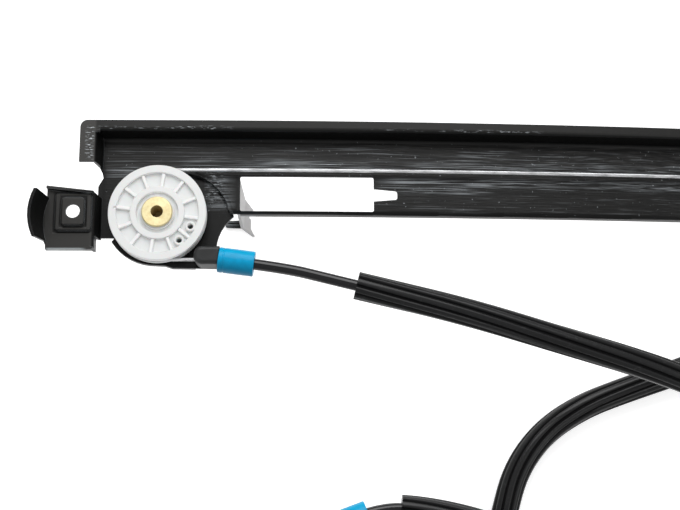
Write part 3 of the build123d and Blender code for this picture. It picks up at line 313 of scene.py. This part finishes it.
def greased_paint():
    """Black electrocoat on stamped steel, with grease wiped along the rail and on its corners,
    painted pale as its glints, and with painted shade and painted highlights along bends and edges.
    """
    paint = Finish("greased_black_paint")
    rounded = paint.soft_edges(0.5)
    along, across, height = paint.axes()
    level = paint.facing("Z").clip(0.75, 0.95)

    def patch(x0, x1, y0, y1, soft_x, soft_y):
        """1 inside a rectangle seen from above, with soft borders."""
        inside = along.clip(x0 - soft_x, x0 + soft_x) * (1 - along.clip(x1 - soft_x, x1 + soft_x))
        inside = inside * across.clip(y0 - soft_y, y0 + soft_y)
        return inside * (1 - across.clip(y1 - soft_y, y1 + soft_y))

    def patches(rows):
        """The sum of patches, each times its strength."""
        return sum(patch(*borders) * strength for strength, *borders in rows)

    # Wiped and wrinkled grease, painted pale as its glints, with painted glints on the leg, the
    # ledge and the recess
    web = level * across.clip(0, 4) * (1 - across.clip(41, 43)) * along.clip(-30, -28)
    wander = paint.noise((0.012, 0.04, 0.05), detail=1)
    bent = paint.add("ShaderNodeCombineXYZ", X=along, Y=across + 2 * wander, Z=height).outputs[0]
    scratches = paint.noise((0.016, 1.35, 0.6), detail=2.5, roughness=0.6, place=bent)
    strands = paint.noise((0.020, 2.1, 0.6), detail=2, roughness=0.6, place=bent).clip(0.50, 0.57)
    gaps = paint.noise((0.035, 0.45, 0.2), detail=3, roughness=0.6).clip(0.40, 0.62)
    thin = scratches.clip(0.54, 0.64) * gaps * patches(THIN_GREASE)
    thick = strands * (0.35 + 0.65 * gaps) * patches(THICK_GREASE) * 0.9
    wiped = web * (thin + thick).clip(0, 1)
    wrinkles = paint.noise((0.30, 1.5, 0.5), detail=3, roughness=0.6).clip(0.55, 0.64)
    leg = patch(-37.5, -34, 27, 46, 1, 1) * level
    ledge = patches(LEDGE_GREASE_GLINTS) * gaps * level
    seat = patch(25, 34, 8, 24, 2, 3) * (1 - along.clip(30, 38)) * 0.6
    grease = (wiped + wrinkles * (leg + ledge + seat)).clip(0, 1)
    specks = paint.noise((0.7, 0.7, 0.7), detail=2).clip(0.70, 0.76) * web * 0.35

    # The paint under it, faded on the pad, the leg and the flange and in fine lines on the web
    fine = paint.noise((0.007, 1.3, 1.0), detail=3, roughness=0.65, place=bent).clip(0.44, 0.64)
    fine = fine * web * (0.30 + 0.70 * across.clip(20, 26))
    pad = (1 - along.clip(-33, -32)) * along.clip(-58, -57) * level
    flap = patch(-42, -33, 26, 50, 0.5, 0.5) * level
    flange = across.clip(43, 44) * (1 - pad) * (1 - flap) * level
    faded = pad * 0.70 + flap * 0.30 + flange * 0.25 + fine * 0.45
    color = paint.mix(faded, PAINT, FADED_PAINT)

    # Painted shade: dark lines along bends, round the pulley's recess, along the slot's bend and
    # round the pad's bosses
    from_middle = [place - middle for place, middle in zip((along, across), SEAT_MIDDLE)]
    seat_edge = (from_middle[0] ** 2 + from_middle[1] ** 2) ** 0.5 - SEAT_EDGE_R
    seat_edge = (1 - abs(seat_edge).clip(0.7, 1.7)) * patch(19, 42, 4, 30, 1, 1)
    slot_bend = patch(39.4, 41.4, 3, 23, 0.8, 0.8)
    color = paint.mix((seat_edge + slot_bend).clip(0, 1) * 0.9, color, SHADED_PAINT)
    outlines = pad * sum(boss_outline(along, across, size) for size in BOSS_SIZES)
    color = paint.mix(outlines.clip(0, 1) * 0.9, color, BOSS_SHADE)

    # What lies on the paint: grease; edges lighter as wear and as painted highlight; a painted
    # highlight along the pad's lower edge; a painted reflection on the hook strip's side
    # Grease and pale specks take the colour of painted glints
    color = paint.mix((grease + specks).clip(0, 1) * 0.85, color, GREASE_GLINT)
    # Painted highlight and wear: rounded edges lighter, most of all on the pad
    color = paint.mix(paint.edge_mask(rounded) * (0.14 + 0.3 * pad), color, EDGE_WEAR_AND_HIGHLIGHT)
    # Painted highlight: a pale line along the pad's lower edge
    rim_highlight = patch(-56, -37, -21.0, -19.9, 1.5, 0.25) * (0.6 + 0.4 * gaps)
    color = paint.mix(rim_highlight * 0.65, color, RIM_HIGHLIGHT)
    # Painted reflection: the hook strip's side face lighter grey, standing for the white
    # surroundings it mirrors
    fin_reflection = along.clip(38, 40) * (1 - along.clip(49, 52)) * (1 - height.clip(-6, -3)) * (1 - level)
    color = paint.mix(fin_reflection * 0.9, color, FIN_REFLECTION)

    peel = paint.noise((0.8, 0.8, 0.8), detail=2)
    ripple = paint.noise((0.05, 0.9, 0.5), detail=5, roughness=0.65)
    paint.set(Base_Color=color, Roughness=0.30 + 0.14 * peel, Specular_IOR_Level=0.22)
    bumps = 0.2 * peel + 1.2 * ripple * web + 0.8 * grease - 2.5 * outlines - 2.5 * seat_edge
    paint.relief(bumps, 0.12, rounded)
    return paint.material


def boss_outline(along, across, size):
    """Near 1 on the outline of a boss of that size round the pad's hole."""
    x = abs(along - BOSS_MIDDLE[0]) - size[0] / 2
    y = abs(across - BOSS_MIDDLE[1]) - size[1] / 2
    edge = x.math("MAXIMUM", x, y)
    return 1 - abs(edge - 0.2).clip(0.35, 1.0)


def white_moulding(name, turn=None):
    """Off-white acetal: painted shade in its pockets, painted light on its ribs and side walls, and
    edges lighter as wear and painted highlight.
    """
    plain, pocket_shade, rib_light = (0.68, 0.69, 0.685), (0.61, 0.625, 0.63), (0.78, 0.785, 0.78)
    wall, soiled, edge = (0.93, 0.935, 0.93), (0.56, 0.57, 0.56), (0.78, 0.78, 0.78)
    plastic = Finish(name)
    rounded = plastic.soft_edges(0.8)
    depth = plastic.axes(turn)[2]
    mottle = plastic.noise((0.25, 0.25, 0.25), detail=4, roughness=0.6)
    # Painted shade: darker towards the pockets' floors
    low = 1 - depth.clip(6.5, 8.9)
    color = plastic.mix(low * 0.5, plain, pocket_shade)
    # Painted light: ribs lighter, and side walls lighter against the shade that falls on them
    ribs = depth.clip(7.5, 8.3) * (1 - depth.clip(8.65, 8.9))
    color = plastic.mix(ribs * 0.8, color, rib_light)
    walls = (1 - plastic.facing("Z").clip(0.3, 0.9)) * depth.clip(6.0, 7.0)
    color = plastic.mix(walls, color, wall)
    color = plastic.mix(mottle.clip(0.45, 0.75) * 0.16, color, soiled)
    # Edges lighter as wear and painted highlight
    color = plastic.mix(plastic.edge_mask(rounded) * 0.25, color, edge)
    plastic.set(Base_Color=color, Roughness=0.42 + 0.14 * mottle, Subsurface_Weight=0.08,
                Subsurface_Scale=2 * MM)
    plastic.relief(plastic.noise((0.9, 0.9, 0.9), detail=3), 0.03, rounded)
    return plastic.material


def turned_brass(name, turn=None):
    """Brass with fine rings round its axis, painted shade on the wall of its bore, and edges
    lighter as rubbing and painted highlight.
    """
    pale, tarnished = (0.78, 0.69, 0.41), (0.67, 0.55, 0.28)
    dark, rubbed_highlight = (0.52, 0.40, 0.20), (0.93, 0.80, 0.50)
    brass = Finish(name)
    x, y, depth = brass.axes(turn)
    radius = (x * x + y * y) ** 0.5
    rings = radius.math("SINE", radius * 14)
    rounded = brass.soft_edges(0.3)
    mottle = brass.noise((0.5, 0.5, 0.5), detail=4)
    # Painted shade: the bore's wall darker and not metallic
    bore = (1 - radius.clip(3.1, 3.5)) * (1 - depth.clip(8.0, 10.4))
    color = brass.mix(mottle.clip(0.4, 0.7), pale, tarnished)
    color = brass.mix(bore, color, dark)
    # Rubbed edges, lighter as painted highlight too
    color = brass.mix(brass.edge_mask(rounded) * 0.4, color, rubbed_highlight)
    brass.set(Base_Color=color, Metallic=0.85 - 0.85 * bore, Roughness=0.33 + 0.12 * mottle)
    brass.relief(0.5 + 0.5 * rings + mottle, 0.015, rounded)
    return brass.material


def bright_steel():
    """Bright zinc with dull patches."""
    bright, dull = (0.62, 0.63, 0.65), (0.4464, 0.4536, 0.468)
    steel = Finish("bright_zinc")
    rounded = steel.soft_edges(0.25)
    mottle = steel.noise((0.7, 0.7, 0.7), detail=4, roughness=0.6)
    color = steel.mix(mottle.clip(0.4, 0.7), bright, dull)
    steel.set(Base_Color=color, Metallic=0.95, Roughness=0.28 + 0.18 * mottle)
    steel.relief(mottle, 0.02, rounded)
    return steel.material


def cable_steel():
    """Greased galvanised strands."""
    clean, greased = (0.72, 0.73, 0.74), (0.38, 0.38, 0.39)
    steel = Finish("greased_strands")
    grease = steel.noise((0.12, 0.5, 0.5), detail=3)
    color = steel.mix(grease.clip(0.45, 0.7), clean, greased)
    steel.set(Base_Color=color, Metallic=0.9, Roughness=0.25 + 0.2 * grease)
    steel.relief(steel.noise((3, 3, 3), detail=2), 0.01)
    return steel.material


def blue_moulding():
    """Bright blue plastic with a slight sheen and scuffs, with painted shade on its low side,
    painted light on its upper side, and edges lighter as scuffs and painted highlight.
    """
    deep, plain = (0.0, 0.25, 0.46), (0.0, 0.30, 0.55)
    shaded, lit, scuffed = (0.0, 0.13, 0.24), (0.0, 0.48, 0.80), (0.08, 0.55, 0.82)
    blue = Finish("blue_moulding")
    rounded = blue.soft_edges(0.3)
    mottle = blue.noise((0.3, 0.3, 0.3), detail=4)
    scuffs = blue.noise((0.5, 2.5, 2.5), detail=4, roughness=0.6).clip(0.62, 0.74)
    color = blue.mix(mottle.clip(0.35, 0.7), deep, plain)
    # Painted shade on the side facing down the Y axis, painted light on the side facing up it
    side = blue.facing("Y")
    color = blue.mix((-1 * side).clip(0.1, 0.9) * 0.75, color, shaded)
    color = blue.mix(side.clip(0.1, 0.8) * 0.4, color, lit)
    # Scuffs, and edges lighter as wear and painted highlight
    color = blue.mix(scuffs * 0.10 + blue.edge_mask(rounded) * 0.25, color, scuffed)
    blue.set(Base_Color=color, Roughness=0.24 + 0.12 * mottle, Specular_IOR_Level=0.18)
    blue.relief(blue.noise((1.2, 1.2, 1.2), detail=2) + scuffs * 0.4, 0.02, rounded)
    return blue.material


def black_moulding():
    """Black moulded plastic with a fine grain."""
    dark, faded, rubbed_highlight = (0.011, 0.0115, 0.012), (0.022, 0.023, 0.024), (0.3, 0.3, 0.3)
    black = Finish("black_moulding")
    rounded = black.soft_edges(0.4)
    grain = black.noise((2.2, 2.2, 2.2), detail=3)
    cloud = black.noise((0.12, 0.12, 0.12), detail=4)
    color = black.mix(cloud.clip(0.35, 0.7), dark, faded)
    # Edges lighter as rubbing and painted highlight
    color = black.mix(black.edge_mask(rounded) * 0.10, color, rubbed_highlight)
    black.set(Base_Color=color, Roughness=0.36 + 0.18 * cloud, Specular_IOR_Level=0.35)
    black.relief(grain, 0.03, rounded)
    return black.material


def conduit_black():
    """The conduits' glossy extruded skin."""
    black, scuffed = (0.006, 0.006, 0.007), (0.12, 0.12, 0.12)
    skin = Finish("glossy_extrusion")
    cloud = skin.noise((0.12, 0.12, 0.12), detail=3)
    scuff = skin.noise((0.7, 0.7, 0.7), detail=5, roughness=0.65).clip(0.6, 0.75)
    color = skin.mix(scuff * 0.12, black, scuffed)
    skin.set(Base_Color=color, Roughness=0.06 + 0.05 * cloud + 0.15 * scuff,
             Specular_IOR_Level=0.40)
    skin.relief(cloud + 0.15 * scuff, 0.06)
    return skin.material


def fluted_rubber():
    """The fluted sleeves' rubber: painted shade in the grooves, and ridges paler as rubbing and
    painted highlight.
    """
    groove_shade, ridge, rubbed_highlight = (0.0015, 0.0015, 0.0018), (0.008, 0.0082, 0.0086), (0.14, 0.14, 0.145)
    rubber = Finish("fluted_rubber")
    height = rubber.number(rubber.add("ShaderNodeAttribute", {"attribute_name": "ridge"}), 2)
    cloud = rubber.noise((0.09, 0.09, 0.09), detail=4)
    rub = rubber.noise((0.35, 0.35, 0.35), detail=5, roughness=0.7)
    # Painted shade: grooves darker than the ridges
    color = rubber.mix(height * (0.35 + 0.5 * cloud), groove_shade, ridge)
    # Ridges paler in patches, as rubbing and painted highlight
    color = rubber.mix(height * rub.clip(0.58, 0.72) * 0.12, color, rubbed_highlight)
    rubber.set(Base_Color=color, Roughness=0.40 + 0.16 * cloud + 0.10 * rub,
               Specular_IOR_Level=0.15, Coat_Weight=height * 0.6, Coat_Roughness=0.16,
               Coat_IOR=1.35)
    rubber.relief(0.5 * rub + cloud, 0.05)
    return rubber.material


def plain_rubber():
    """Moulded rubber of the buffer and the clamp's pads."""
    dark, faded = (0.016, 0.016, 0.017), (0.034, 0.034, 0.035)
    rubber = Finish("moulded_rubber")
    rounded = rubber.soft_edges(0.5)
    cloud = rubber.noise((0.2, 0.2, 0.2), detail=4)
    grain = rubber.noise((3.0, 3.0, 3.0), detail=2)
    color = rubber.mix(cloud.clip(0.35, 0.7), dark, faded)
    rubber.set(Base_Color=color, Roughness=0.62 + 0.15 * cloud)
    rubber.relief(grain, 0.04, rounded)
    return rubber.material


FLOOR_GLOW = 0.6


def backdrop():
    """Pale floor that shows white to the camera and in reflections, and keeps the shadow."""
    floor = Finish("pale_floor")
    rays = floor.add("ShaderNodeLightPath")
    kinds = ("Is Camera Ray", "Is Glossy Ray", "Is Transmission Ray")
    seen = sum(floor.number(rays, kind) for kind in kinds)
    floor.set(Base_Color=(0.80, 0.80, 0.80), Roughness=0.9, Specular_IOR_Level=0.0,
              Emission_Color=(1.0, 1.0, 1.0),
              Emission_Strength=seen.math("MINIMUM", seen, 1.0) * FLOOR_GLOW)
    return floor.material


def add_piece(name, mesh, material, body, *nodes, slot):
    """Puts a new piece on a body, in place of the solids named."""
    piece = bpy.data.objects.new(name, mesh)
    scene.collection.objects.link(piece)
    mesh.materials.clear()
    mesh.materials.append(material)
    if isinstance(mesh, bpy.types.Mesh):
        mesh.polygons.foreach_set("use_smooth", [True] * len(mesh.polygons))
    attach(piece, body)
    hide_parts(*nodes)
    return piece


def route_curve(name, points):
    """A smooth curve with the route's points as its control points."""
    curve = bpy.data.curves.new(name, "CURVE")
    curve.dimensions = "3D"
    curve.resolution_u = 16
    spline = curve.splines.new("NURBS")
    spline.points.add(len(points) - 1)
    for point, place in zip(spline.points, points):
        point.co = (*place, 1)
    spline.order_u = 3
    spline.use_endpoint_u = True
    return curve


def line_of(points):
    """The points that a route's smooth curve runs through."""
    curve = route_curve("route", points)
    holder = bpy.data.objects.new("route", curve)
    scene.collection.objects.link(holder)
    mesh = bpy.data.meshes.new_from_object(holder)
    line = [vertex.co.copy() for vertex in mesh.vertices]
    bpy.data.objects.remove(holder)
    bpy.data.meshes.remove(mesh)
    return line


def stretch_of(points, first_run, last_run):
    """The smooth line from the middle of one run to the middle of another."""
    line = line_of(points)
    ends = [(Vector(points[i]) + Vector(points[i + 1])) / 2 for i in (first_run, last_run)]
    start, stop = (min(range(len(line)), key=lambda i: (line[i] - end).length) for end in ends)
    return line[start:stop + 1]


def line_mesh(line):
    """A mesh of edges only, for a tree to grow on."""
    mesh = bpy.data.meshes.new("seed")
    mesh.from_pydata(line, [(i, i + 1) for i in range(len(line) - 1)], [])
    return mesh


def new_tree(name, sizes):
    """The graph of a Geometry Nodes tree with named sizes, with its input and output nodes."""
    tree = bpy.data.node_groups.new(name, "GeometryNodeTree")
    tree.interface.new_socket("Geometry", in_out="INPUT", socket_type="NodeSocketGeometry")
    for label, kind in sizes:
        tree.interface.new_socket(label, in_out="INPUT", socket_type=kind)
    tree.interface.new_socket("Geometry", in_out="OUTPUT", socket_type="NodeSocketGeometry")
    graph = Graph(tree)
    return graph, graph.add("NodeGroupInput"), graph.add("NodeGroupOutput")


def grown(tree, name, seed_mesh, values):
    """The plain mesh that a tree makes from a seed mesh, with its sizes set by name."""
    holder = bpy.data.objects.new(name, seed_mesh)
    scene.collection.objects.link(holder)
    modifier = holder.modifiers.new("tree", "NODES")
    modifier.node_group = tree
    for item in tree.interface.items_tree:
        if item.in_out == "INPUT" and item.name in values:
            modifier[item.identifier] = values[item.name]
    scene.view_layers[0].update()
    evaluated = holder.evaluated_get(bpy.context.evaluated_depsgraph_get())
    mesh = bpy.data.meshes.new_from_object(evaluated)
    mesh.name = name
    bpy.data.objects.remove(holder)
    return mesh


def finished(graph, made, given, result):
    """Ends a tree: real geometry with the material given."""
    real = graph.add("GeometryNodeRealizeInstances", Geometry=made.outputs[0])
    painted = graph.add("GeometryNodeSetMaterial", Geometry=real.outputs[0],
                        Material=given.outputs["Material"])
    graph.tree.links.new(painted.outputs[0], result.inputs[0])
    return graph.tree


def fluted_tree():
    """Sweeps a fluted round along a line."""
    graph, given, result = new_tree("fluted_sleeve", [
        ("Radius", "NodeSocketFloat"), ("Groove Depth", "NodeSocketFloat"),
        ("Flutes", "NodeSocketInt"), ("Twist", "NodeSocketFloat"), ("Step", "NodeSocketFloat"),
        ("Material", "NodeSocketMaterial")])
    radius, depth, flutes, twist = (Number(graph, given.outputs[label])
                                    for label in ("Radius", "Groove Depth", "Flutes", "Twist"))
    path = graph.add("GeometryNodeMeshToCurve", Mesh=given.outputs["Geometry"])
    path = graph.add("GeometryNodeResampleCurve", {"mode": "LENGTH"}, Curve=path.outputs[0],
                     Length=given.outputs["Step"])
    turned = graph.number(graph.add("GeometryNodeSplineParameter"), "Length") * twist
    path = graph.add("GeometryNodeSetCurveTilt", Curve=path.outputs[0], Tilt=turned)
    circle = graph.add("GeometryNodeCurvePrimitiveCircle", Resolution=120, Radius=radius)
    place = graph.add("GeometryNodeInputPosition")
    split = graph.add("ShaderNodeSeparateXYZ", Vector=place.outputs[0])
    x, y = graph.number(split, 0), graph.number(split, 1)
    angle = y.math("ARCTAN2", y, x)
    wave = 0.5 + 0.5 * angle.math("COSINE", angle * flutes)
    ridge = 1 - wave ** 4
    pushed = 1 - (1 - ridge) * depth / radius
    kept = graph.add("GeometryNodeCaptureAttribute")
    kept.capture_items.new("FLOAT", "ridge")
    graph.tree.links.new(circle.outputs[0], kept.inputs[0])
    graph.tree.links.new(ridge.socket, kept.inputs[1])
    moved = graph.add("ShaderNodeVectorMath", {"operation": "SCALE"}, Vector=place.outputs[0],
                      Scale=pushed)
    profile = graph.add("GeometryNodeSetPosition", Geometry=kept.outputs[0],
                        Position=moved.outputs[0])
    swept = graph.add("GeometryNodeCurveToMesh", Curve=path.outputs[0],
                      Profile_Curve=profile.outputs[0], Fill_Caps=True)
    stored = graph.add("GeometryNodeStoreNamedAttribute", {"data_type": "FLOAT", "domain": "POINT"},
                       Geometry=swept.outputs[0], Name="ridge", Value=kept.outputs[1])
    return finished(graph, stored, given, result)


def strand_tree():
    """Lays wires round a line, as in a steel cable."""
    graph, given, result = new_tree("cable_strands", [
        ("Wires", "NodeSocketInt"), ("Lay Radius", "NodeSocketFloat"),
        ("Wire Radius", "NodeSocketFloat"), ("Pitch", "NodeSocketFloat"),
        ("Step", "NodeSocketFloat"), ("Material", "NodeSocketMaterial")])
    path = graph.add("GeometryNodeMeshToCurve", Mesh=given.outputs["Geometry"])
    path = graph.add("GeometryNodeResampleCurve", {"mode": "LENGTH"}, Curve=path.outputs[0],
                     Length=given.outputs["Step"])
    copies = graph.add("GeometryNodeDuplicateElements", {"domain": "SPLINE"},
                       Geometry=path.outputs[0], Amount=given.outputs["Wires"])
    along = graph.number(graph.add("GeometryNodeSplineParameter"), "Length")
    pitch, wires = (Number(graph, given.outputs[label]) for label in ("Pitch", "Wires"))
    turn = 2 * math.pi * (along / pitch + graph.number(copies, 1) / wires)
    normal = graph.add("GeometryNodeInputNormal")
    tangent = graph.add("GeometryNodeInputTangent")
    lifted = graph.add("ShaderNodeVectorRotate", {"rotation_type": "AXIS_ANGLE"},
                       Vector=normal.outputs[0], Axis=tangent.outputs[0], Angle=turn)
    shift = graph.add("ShaderNodeVectorMath", {"operation": "SCALE"}, Vector=lifted.outputs[0],
                      Scale=given.outputs["Lay Radius"])
    laid = graph.add("GeometryNodeSetPosition", Geometry=copies.outputs[0], Offset=shift.outputs[0])
    round_wire = graph.add("GeometryNodeCurvePrimitiveCircle", Resolution=6,
                           Radius=given.outputs["Wire Radius"])
    swept = graph.add("GeometryNodeCurveToMesh", Curve=laid.outputs[0],
                      Profile_Curve=round_wire.outputs[0], Fill_Caps=True)
    return finished(graph, swept, given, result)


def on_rail(s):
    """The place on the rail at a length along it, with +X along the rail and +Z out of the web."""
    bent = min(max(s - ARC_START, 0), ARC_LENGTH)
    axis = Matrix.Translation((ARC_START, 0, -RAIL_RADIUS))
    turned = axis @ Matrix.Rotation(bent / RAIL_RADIUS, 4, "Y") @ axis.inverted()
    return turned @ Matrix.Translation((s - bent, 0, 0))


def half_round(place):
    """A pulley's half turn, from the rail's side to the conduit's side."""
    angles = [math.radians(90 + 180 * i / HALF_ROUND_STEPS) for i in range(HALF_ROUND_STEPS + 1)]
    return [place @ Vector((CABLE_Y * math.cos(a), CABLE_Y * math.sin(a), CABLE_Z)) for a in angles]


def cable_line(end, runs, pulley):
    """The cable's open run: along the rail, round the pulley and into the conduit stop."""
    lengths = [CARRIER_S + i * (end - CARRIER_S) / runs for i in range(runs + 1)]
    line = [on_rail(s) @ Vector((0, CABLE_Y, CABLE_Z)) for s in lengths]
    return line + half_round(pulley) + [pulley @ Vector((CABLE_END_X, -CABLE_Y, CABLE_Z))]


def turned_mesh(name, profile, place, steps=64):
    """A closed ring turned from a profile of (along, radius) points, with +X as its axis."""
    mesh = bpy.data.meshes.new(name)
    count = len(profile)
    points = []
    for step in range(steps):
        angle = 2 * math.pi * step / steps
        across, up = math.cos(angle), math.sin(angle)
        points += [place @ Vector((a, r * across, r * up)) for a, r in profile]
    faces = []
    for step in range(steps):
        for i in range(count):
            here, after = step * count, (step + 1) % steps * count
            j = (i + 1) % count
            faces.append((here + i, after + i, after + j, here + j))
    mesh.from_pydata(points, [], faces)
    mesh.update()
    return mesh


def rounded(corners, radius, steps=4):
    """A closed outline with its corners rounded."""
    outline = []
    for i, here in enumerate(corners):
        here = Vector(here)
        before = Vector(corners[i - 1]) - here
        after = Vector(corners[(i + 1) % len(corners)]) - here
        cut = min(radius, before.length / 2.1, after.length / 2.1)
        first, last = here + before.normalized() * cut, here + after.normalized() * cut
        for k in range(steps + 1):
            t = k / steps
            outline.append((1 - t) ** 2 * first + 2 * t * (1 - t) * here + t ** 2 * last)
    return [tuple(point) for point in outline]


def sleeve_profile():
    """The blue sleeve's wall: a rolled mouth, a shallow ring near it and a flat end."""
    start, end = SLEEVE_GAP, SLEEVE_GAP + SLEEVE_LENGTH
    ring, inside = start + RING_AT, SLEEVE_R - SLEEVE_WALL
    return rounded([
        (start, inside), (start, SLEEVE_R), (ring, SLEEVE_R),
        (ring + RING_SLOPE, SLEEVE_R - RING_DEPTH),
        (ring + RING_WIDTH - RING_SLOPE, SLEEVE_R - RING_DEPTH),
        (ring + RING_WIDTH, SLEEVE_R), (end, SLEEVE_R), (end, SLEEVE_HOLE_R),
        (end - SLEEVE_END, SLEEVE_HOLE_R), (end - SLEEVE_END, inside)], SLEEVE_EDGE)


def about_z(degrees):
    """A turn round Z."""
    return Matrix.Rotation(math.radians(degrees), 4, "Z")


def shifted(*place):
    """A shift without a turn."""
    return Matrix.Translation(place)


add_camera()
blue = blue_moulding()
rubber = fluted_rubber()
steel_strands = cable_steel()
skin = conduit_black()

# Conduits, with their fluted sleeves: the runs of the route where a sleeve starts and ends, where
# the cord leaves its stop, the cord's length and the flutes' twist in radians per metre
fluted = fluted_tree()
CONDUITS = [
    ("upper", UPPER_ROUTE, (2, 18), (0.050637, -0.02678, 0.0046), 0.69, 5.5),
    ("lower", LOWER_ROUTE, (1, 11), (0.419387, -0.029218, -0.02067), 0.387, -5.0),
]
for side, route, runs, exit_point, length, twist in CONDUITS:
    mesh = grown(fluted, side + "_fluted_rubber", line_mesh(stretch_of(route, *runs)), {
        "Radius": FLUTED_R, "Groove Depth": GROOVE_DEPTH, "Flutes": FLUTES, "Twist": twist,
        "Step": FLUTED_STEP, "Material": rubber})
    sleeve = add_piece(side + "_fluted_rubber", mesh, rubber, FIXED, side + "_fluted_sleeve",
                       slot="rubber")
    curve = route_curve(side + "_conduit_skin", route)
    curve.bevel_depth = CONDUIT_D / 2
    curve.bevel_resolution = 6
    curve.use_fill_caps = True
    conduit = add_piece(side + "_conduit_skin", curve, skin, FIXED, side + "_conduit",
                        slot="conduit_plastic")

# Steel cables from the carrier along the rail and round the pulleys: where each leaves the arc,
# the number of its short runs up to there, and its pulley's place
strands = strand_tree()
lower_end = on_rail(LOWER_S)
CABLES = [
    ("upper", ARC_START, 60, Matrix.Identity(4)),
    ("lower", ARC_START + ARC_LENGTH, 10, lower_end @ Matrix.Diagonal((-1, 1, 1, 1))),
]
for side, end, runs, pulley in CABLES:
    mesh = grown(strands, side + "_cable_strands", line_mesh(cable_line(end, runs, pulley)), {
        "Wires": WIRES, "Lay Radius": LAY_R, "Wire Radius": WIRE_R, "Pitch": LAY_PITCH,
        "Step": WIRE_STEP, "Material": steel_strands})
    add_piece(side + "_cable_strands", mesh, steel_strands, FIXED, side + "_cable", slot="steel")

# Blue spring sleeves, each at the root of its spigot
SPIGOTS = [
    ("upper_spring_sleeve",
     shifted(SPIGOT_X, -CABLE_Y, CABLE_Z) @ about_z(UPPER_SPIGOT_TURN)),
    ("lower_spring_sleeve",
     lower_end @ shifted(-SPIGOT_X, -CABLE_Y, CABLE_Z) @ about_z(LOWER_SPIGOT_TURN)),
]
for node, side, heading, z in (("drum_spring_sleeve_a", 1, 20, -0.038),
                               ("drum_spring_sleeve_b", -1, 12, -0.042)):
    out = about_z(heading) @ Vector((0, DRUM_PITCH_R * side, 0))
    SPIGOTS.append((node, shifted(*(DRUM + out + Vector((0, 0, z)))) @ about_z(heading)
                    @ shifted(DRUM_SPIGOT_X, 0, 0)))
for node, place in SPIGOTS:
    mesh = turned_mesh(node + "_shell", sleeve_profile(), place)
    add_piece(node + "_shell", mesh, blue, FIXED, node, slot="blue_plastic")

# Finishes of the solids that stay. A turned piece's own axes are given by their origin in
# millimetres and their rotation.
LOWER_AXES = ((468.445, 0, -32.06), (0, math.radians(7.8304), 0))
DRUM_AXES = ((73.5, -190, 0), (0, 0, 0))
FINISHES = [
    (greased_paint(), "guide_rail lower_standoff carrier_plate clamp_plate"),
    (white_moulding("white_moulding"), "upper_pulley"),
    (white_moulding("white_moulding_lower", LOWER_AXES), "lower_pulley"),
    (white_moulding("white_moulding_drum", DRUM_AXES), "cable_drum"),
    (turned_brass("turned_brass"), "upper_pulley_rivet"),
    (turned_brass("turned_brass_lower", LOWER_AXES), "lower_pulley_rivet"),
    (bright_steel(), "drive_insert mounting_bushes standoff_rivets cover_screws clamp_bolt"
                     " clamp_nut upper_cable_nipple lower_cable_nipple upper_takeup_spring"
                     " lower_takeup_spring drum_takeup_spring_a drum_takeup_spring_b"),
    (black_moulding(), "upper_conduit_stop lower_conduit_stop drum_housing drum_cover"
                       " cable_holder clamp_base upper_shoe_front upper_shoe_rear lower_shoe"),
    (plain_rubber(), "stop_buffer inner_jaw_pad outer_jaw_pad"),
]
for material, nodes in FINISHES:
    for node in nodes.split():
        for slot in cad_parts[node].material_slots:
            slot.material = material

# Floor, lamps and sky. A lamp is its name, place, target, size and power in watts.
FLOOR_REACH = 4
SKY_LIGHT = 0.5
floor_mesh = bpy.data.meshes.new("floor")
corners = [(x * FLOOR_REACH, y * FLOOR_REACH, SURFACE_Z)
           for x, y in ((-1, -1), (1, -1), (1, 1), (-1, 1))]
floor_mesh.from_pydata(corners, [], [(0, 1, 2, 3)])
floor = bpy.data.objects.new("floor", floor_mesh)
floor_mesh.materials.append(backdrop())
scene.collection.objects.link(floor)

LAMPS = [
    ("window_lamp", (0.15, 0.75, 0.75), (0.2, 0.0, 0.0), 0.9, 10.5),
    ("fill_lamp", (-0.8, -0.35, 0.9), (0.1, 0.0, 0.0), 0.8, 2.4),
    ("side_lamp", (1.1, -0.3, 0.8), (0.25, -0.05, 0.0), 0.8, 2.8),
]
for name, place, target, size, power in LAMPS:
    lamp = bpy.data.lights.new(name, "AREA")
    lamp.size = size
    lamp.energy = power
    holder = bpy.data.objects.new(name, lamp)
    holder.location = place
    holder.rotation_euler = (Vector(target) - Vector(place)).to_track_quat("-Z", "Y").to_euler()
    scene.collection.objects.link(holder)

world = bpy.data.worlds.new("sky")
scene.world = world
world.use_nodes = True
sky = Graph(world.node_tree)
world.node_tree.nodes.clear()
rays = sky.add("ShaderNodeLightPath")
seen = sum(sky.number(rays, kind) for kind in ("Is Camera Ray", "Is Transmission Ray"))
strength = SKY_LIGHT + seen * (1 - SKY_LIGHT)
light = sky.add("ShaderNodeBackground", Color=(1, 1, 1, 1), Strength=strength)
sky.add("ShaderNodeOutputWorld", Surface=light.outputs[0])

scene.view_settings.view_transform = "Standard"
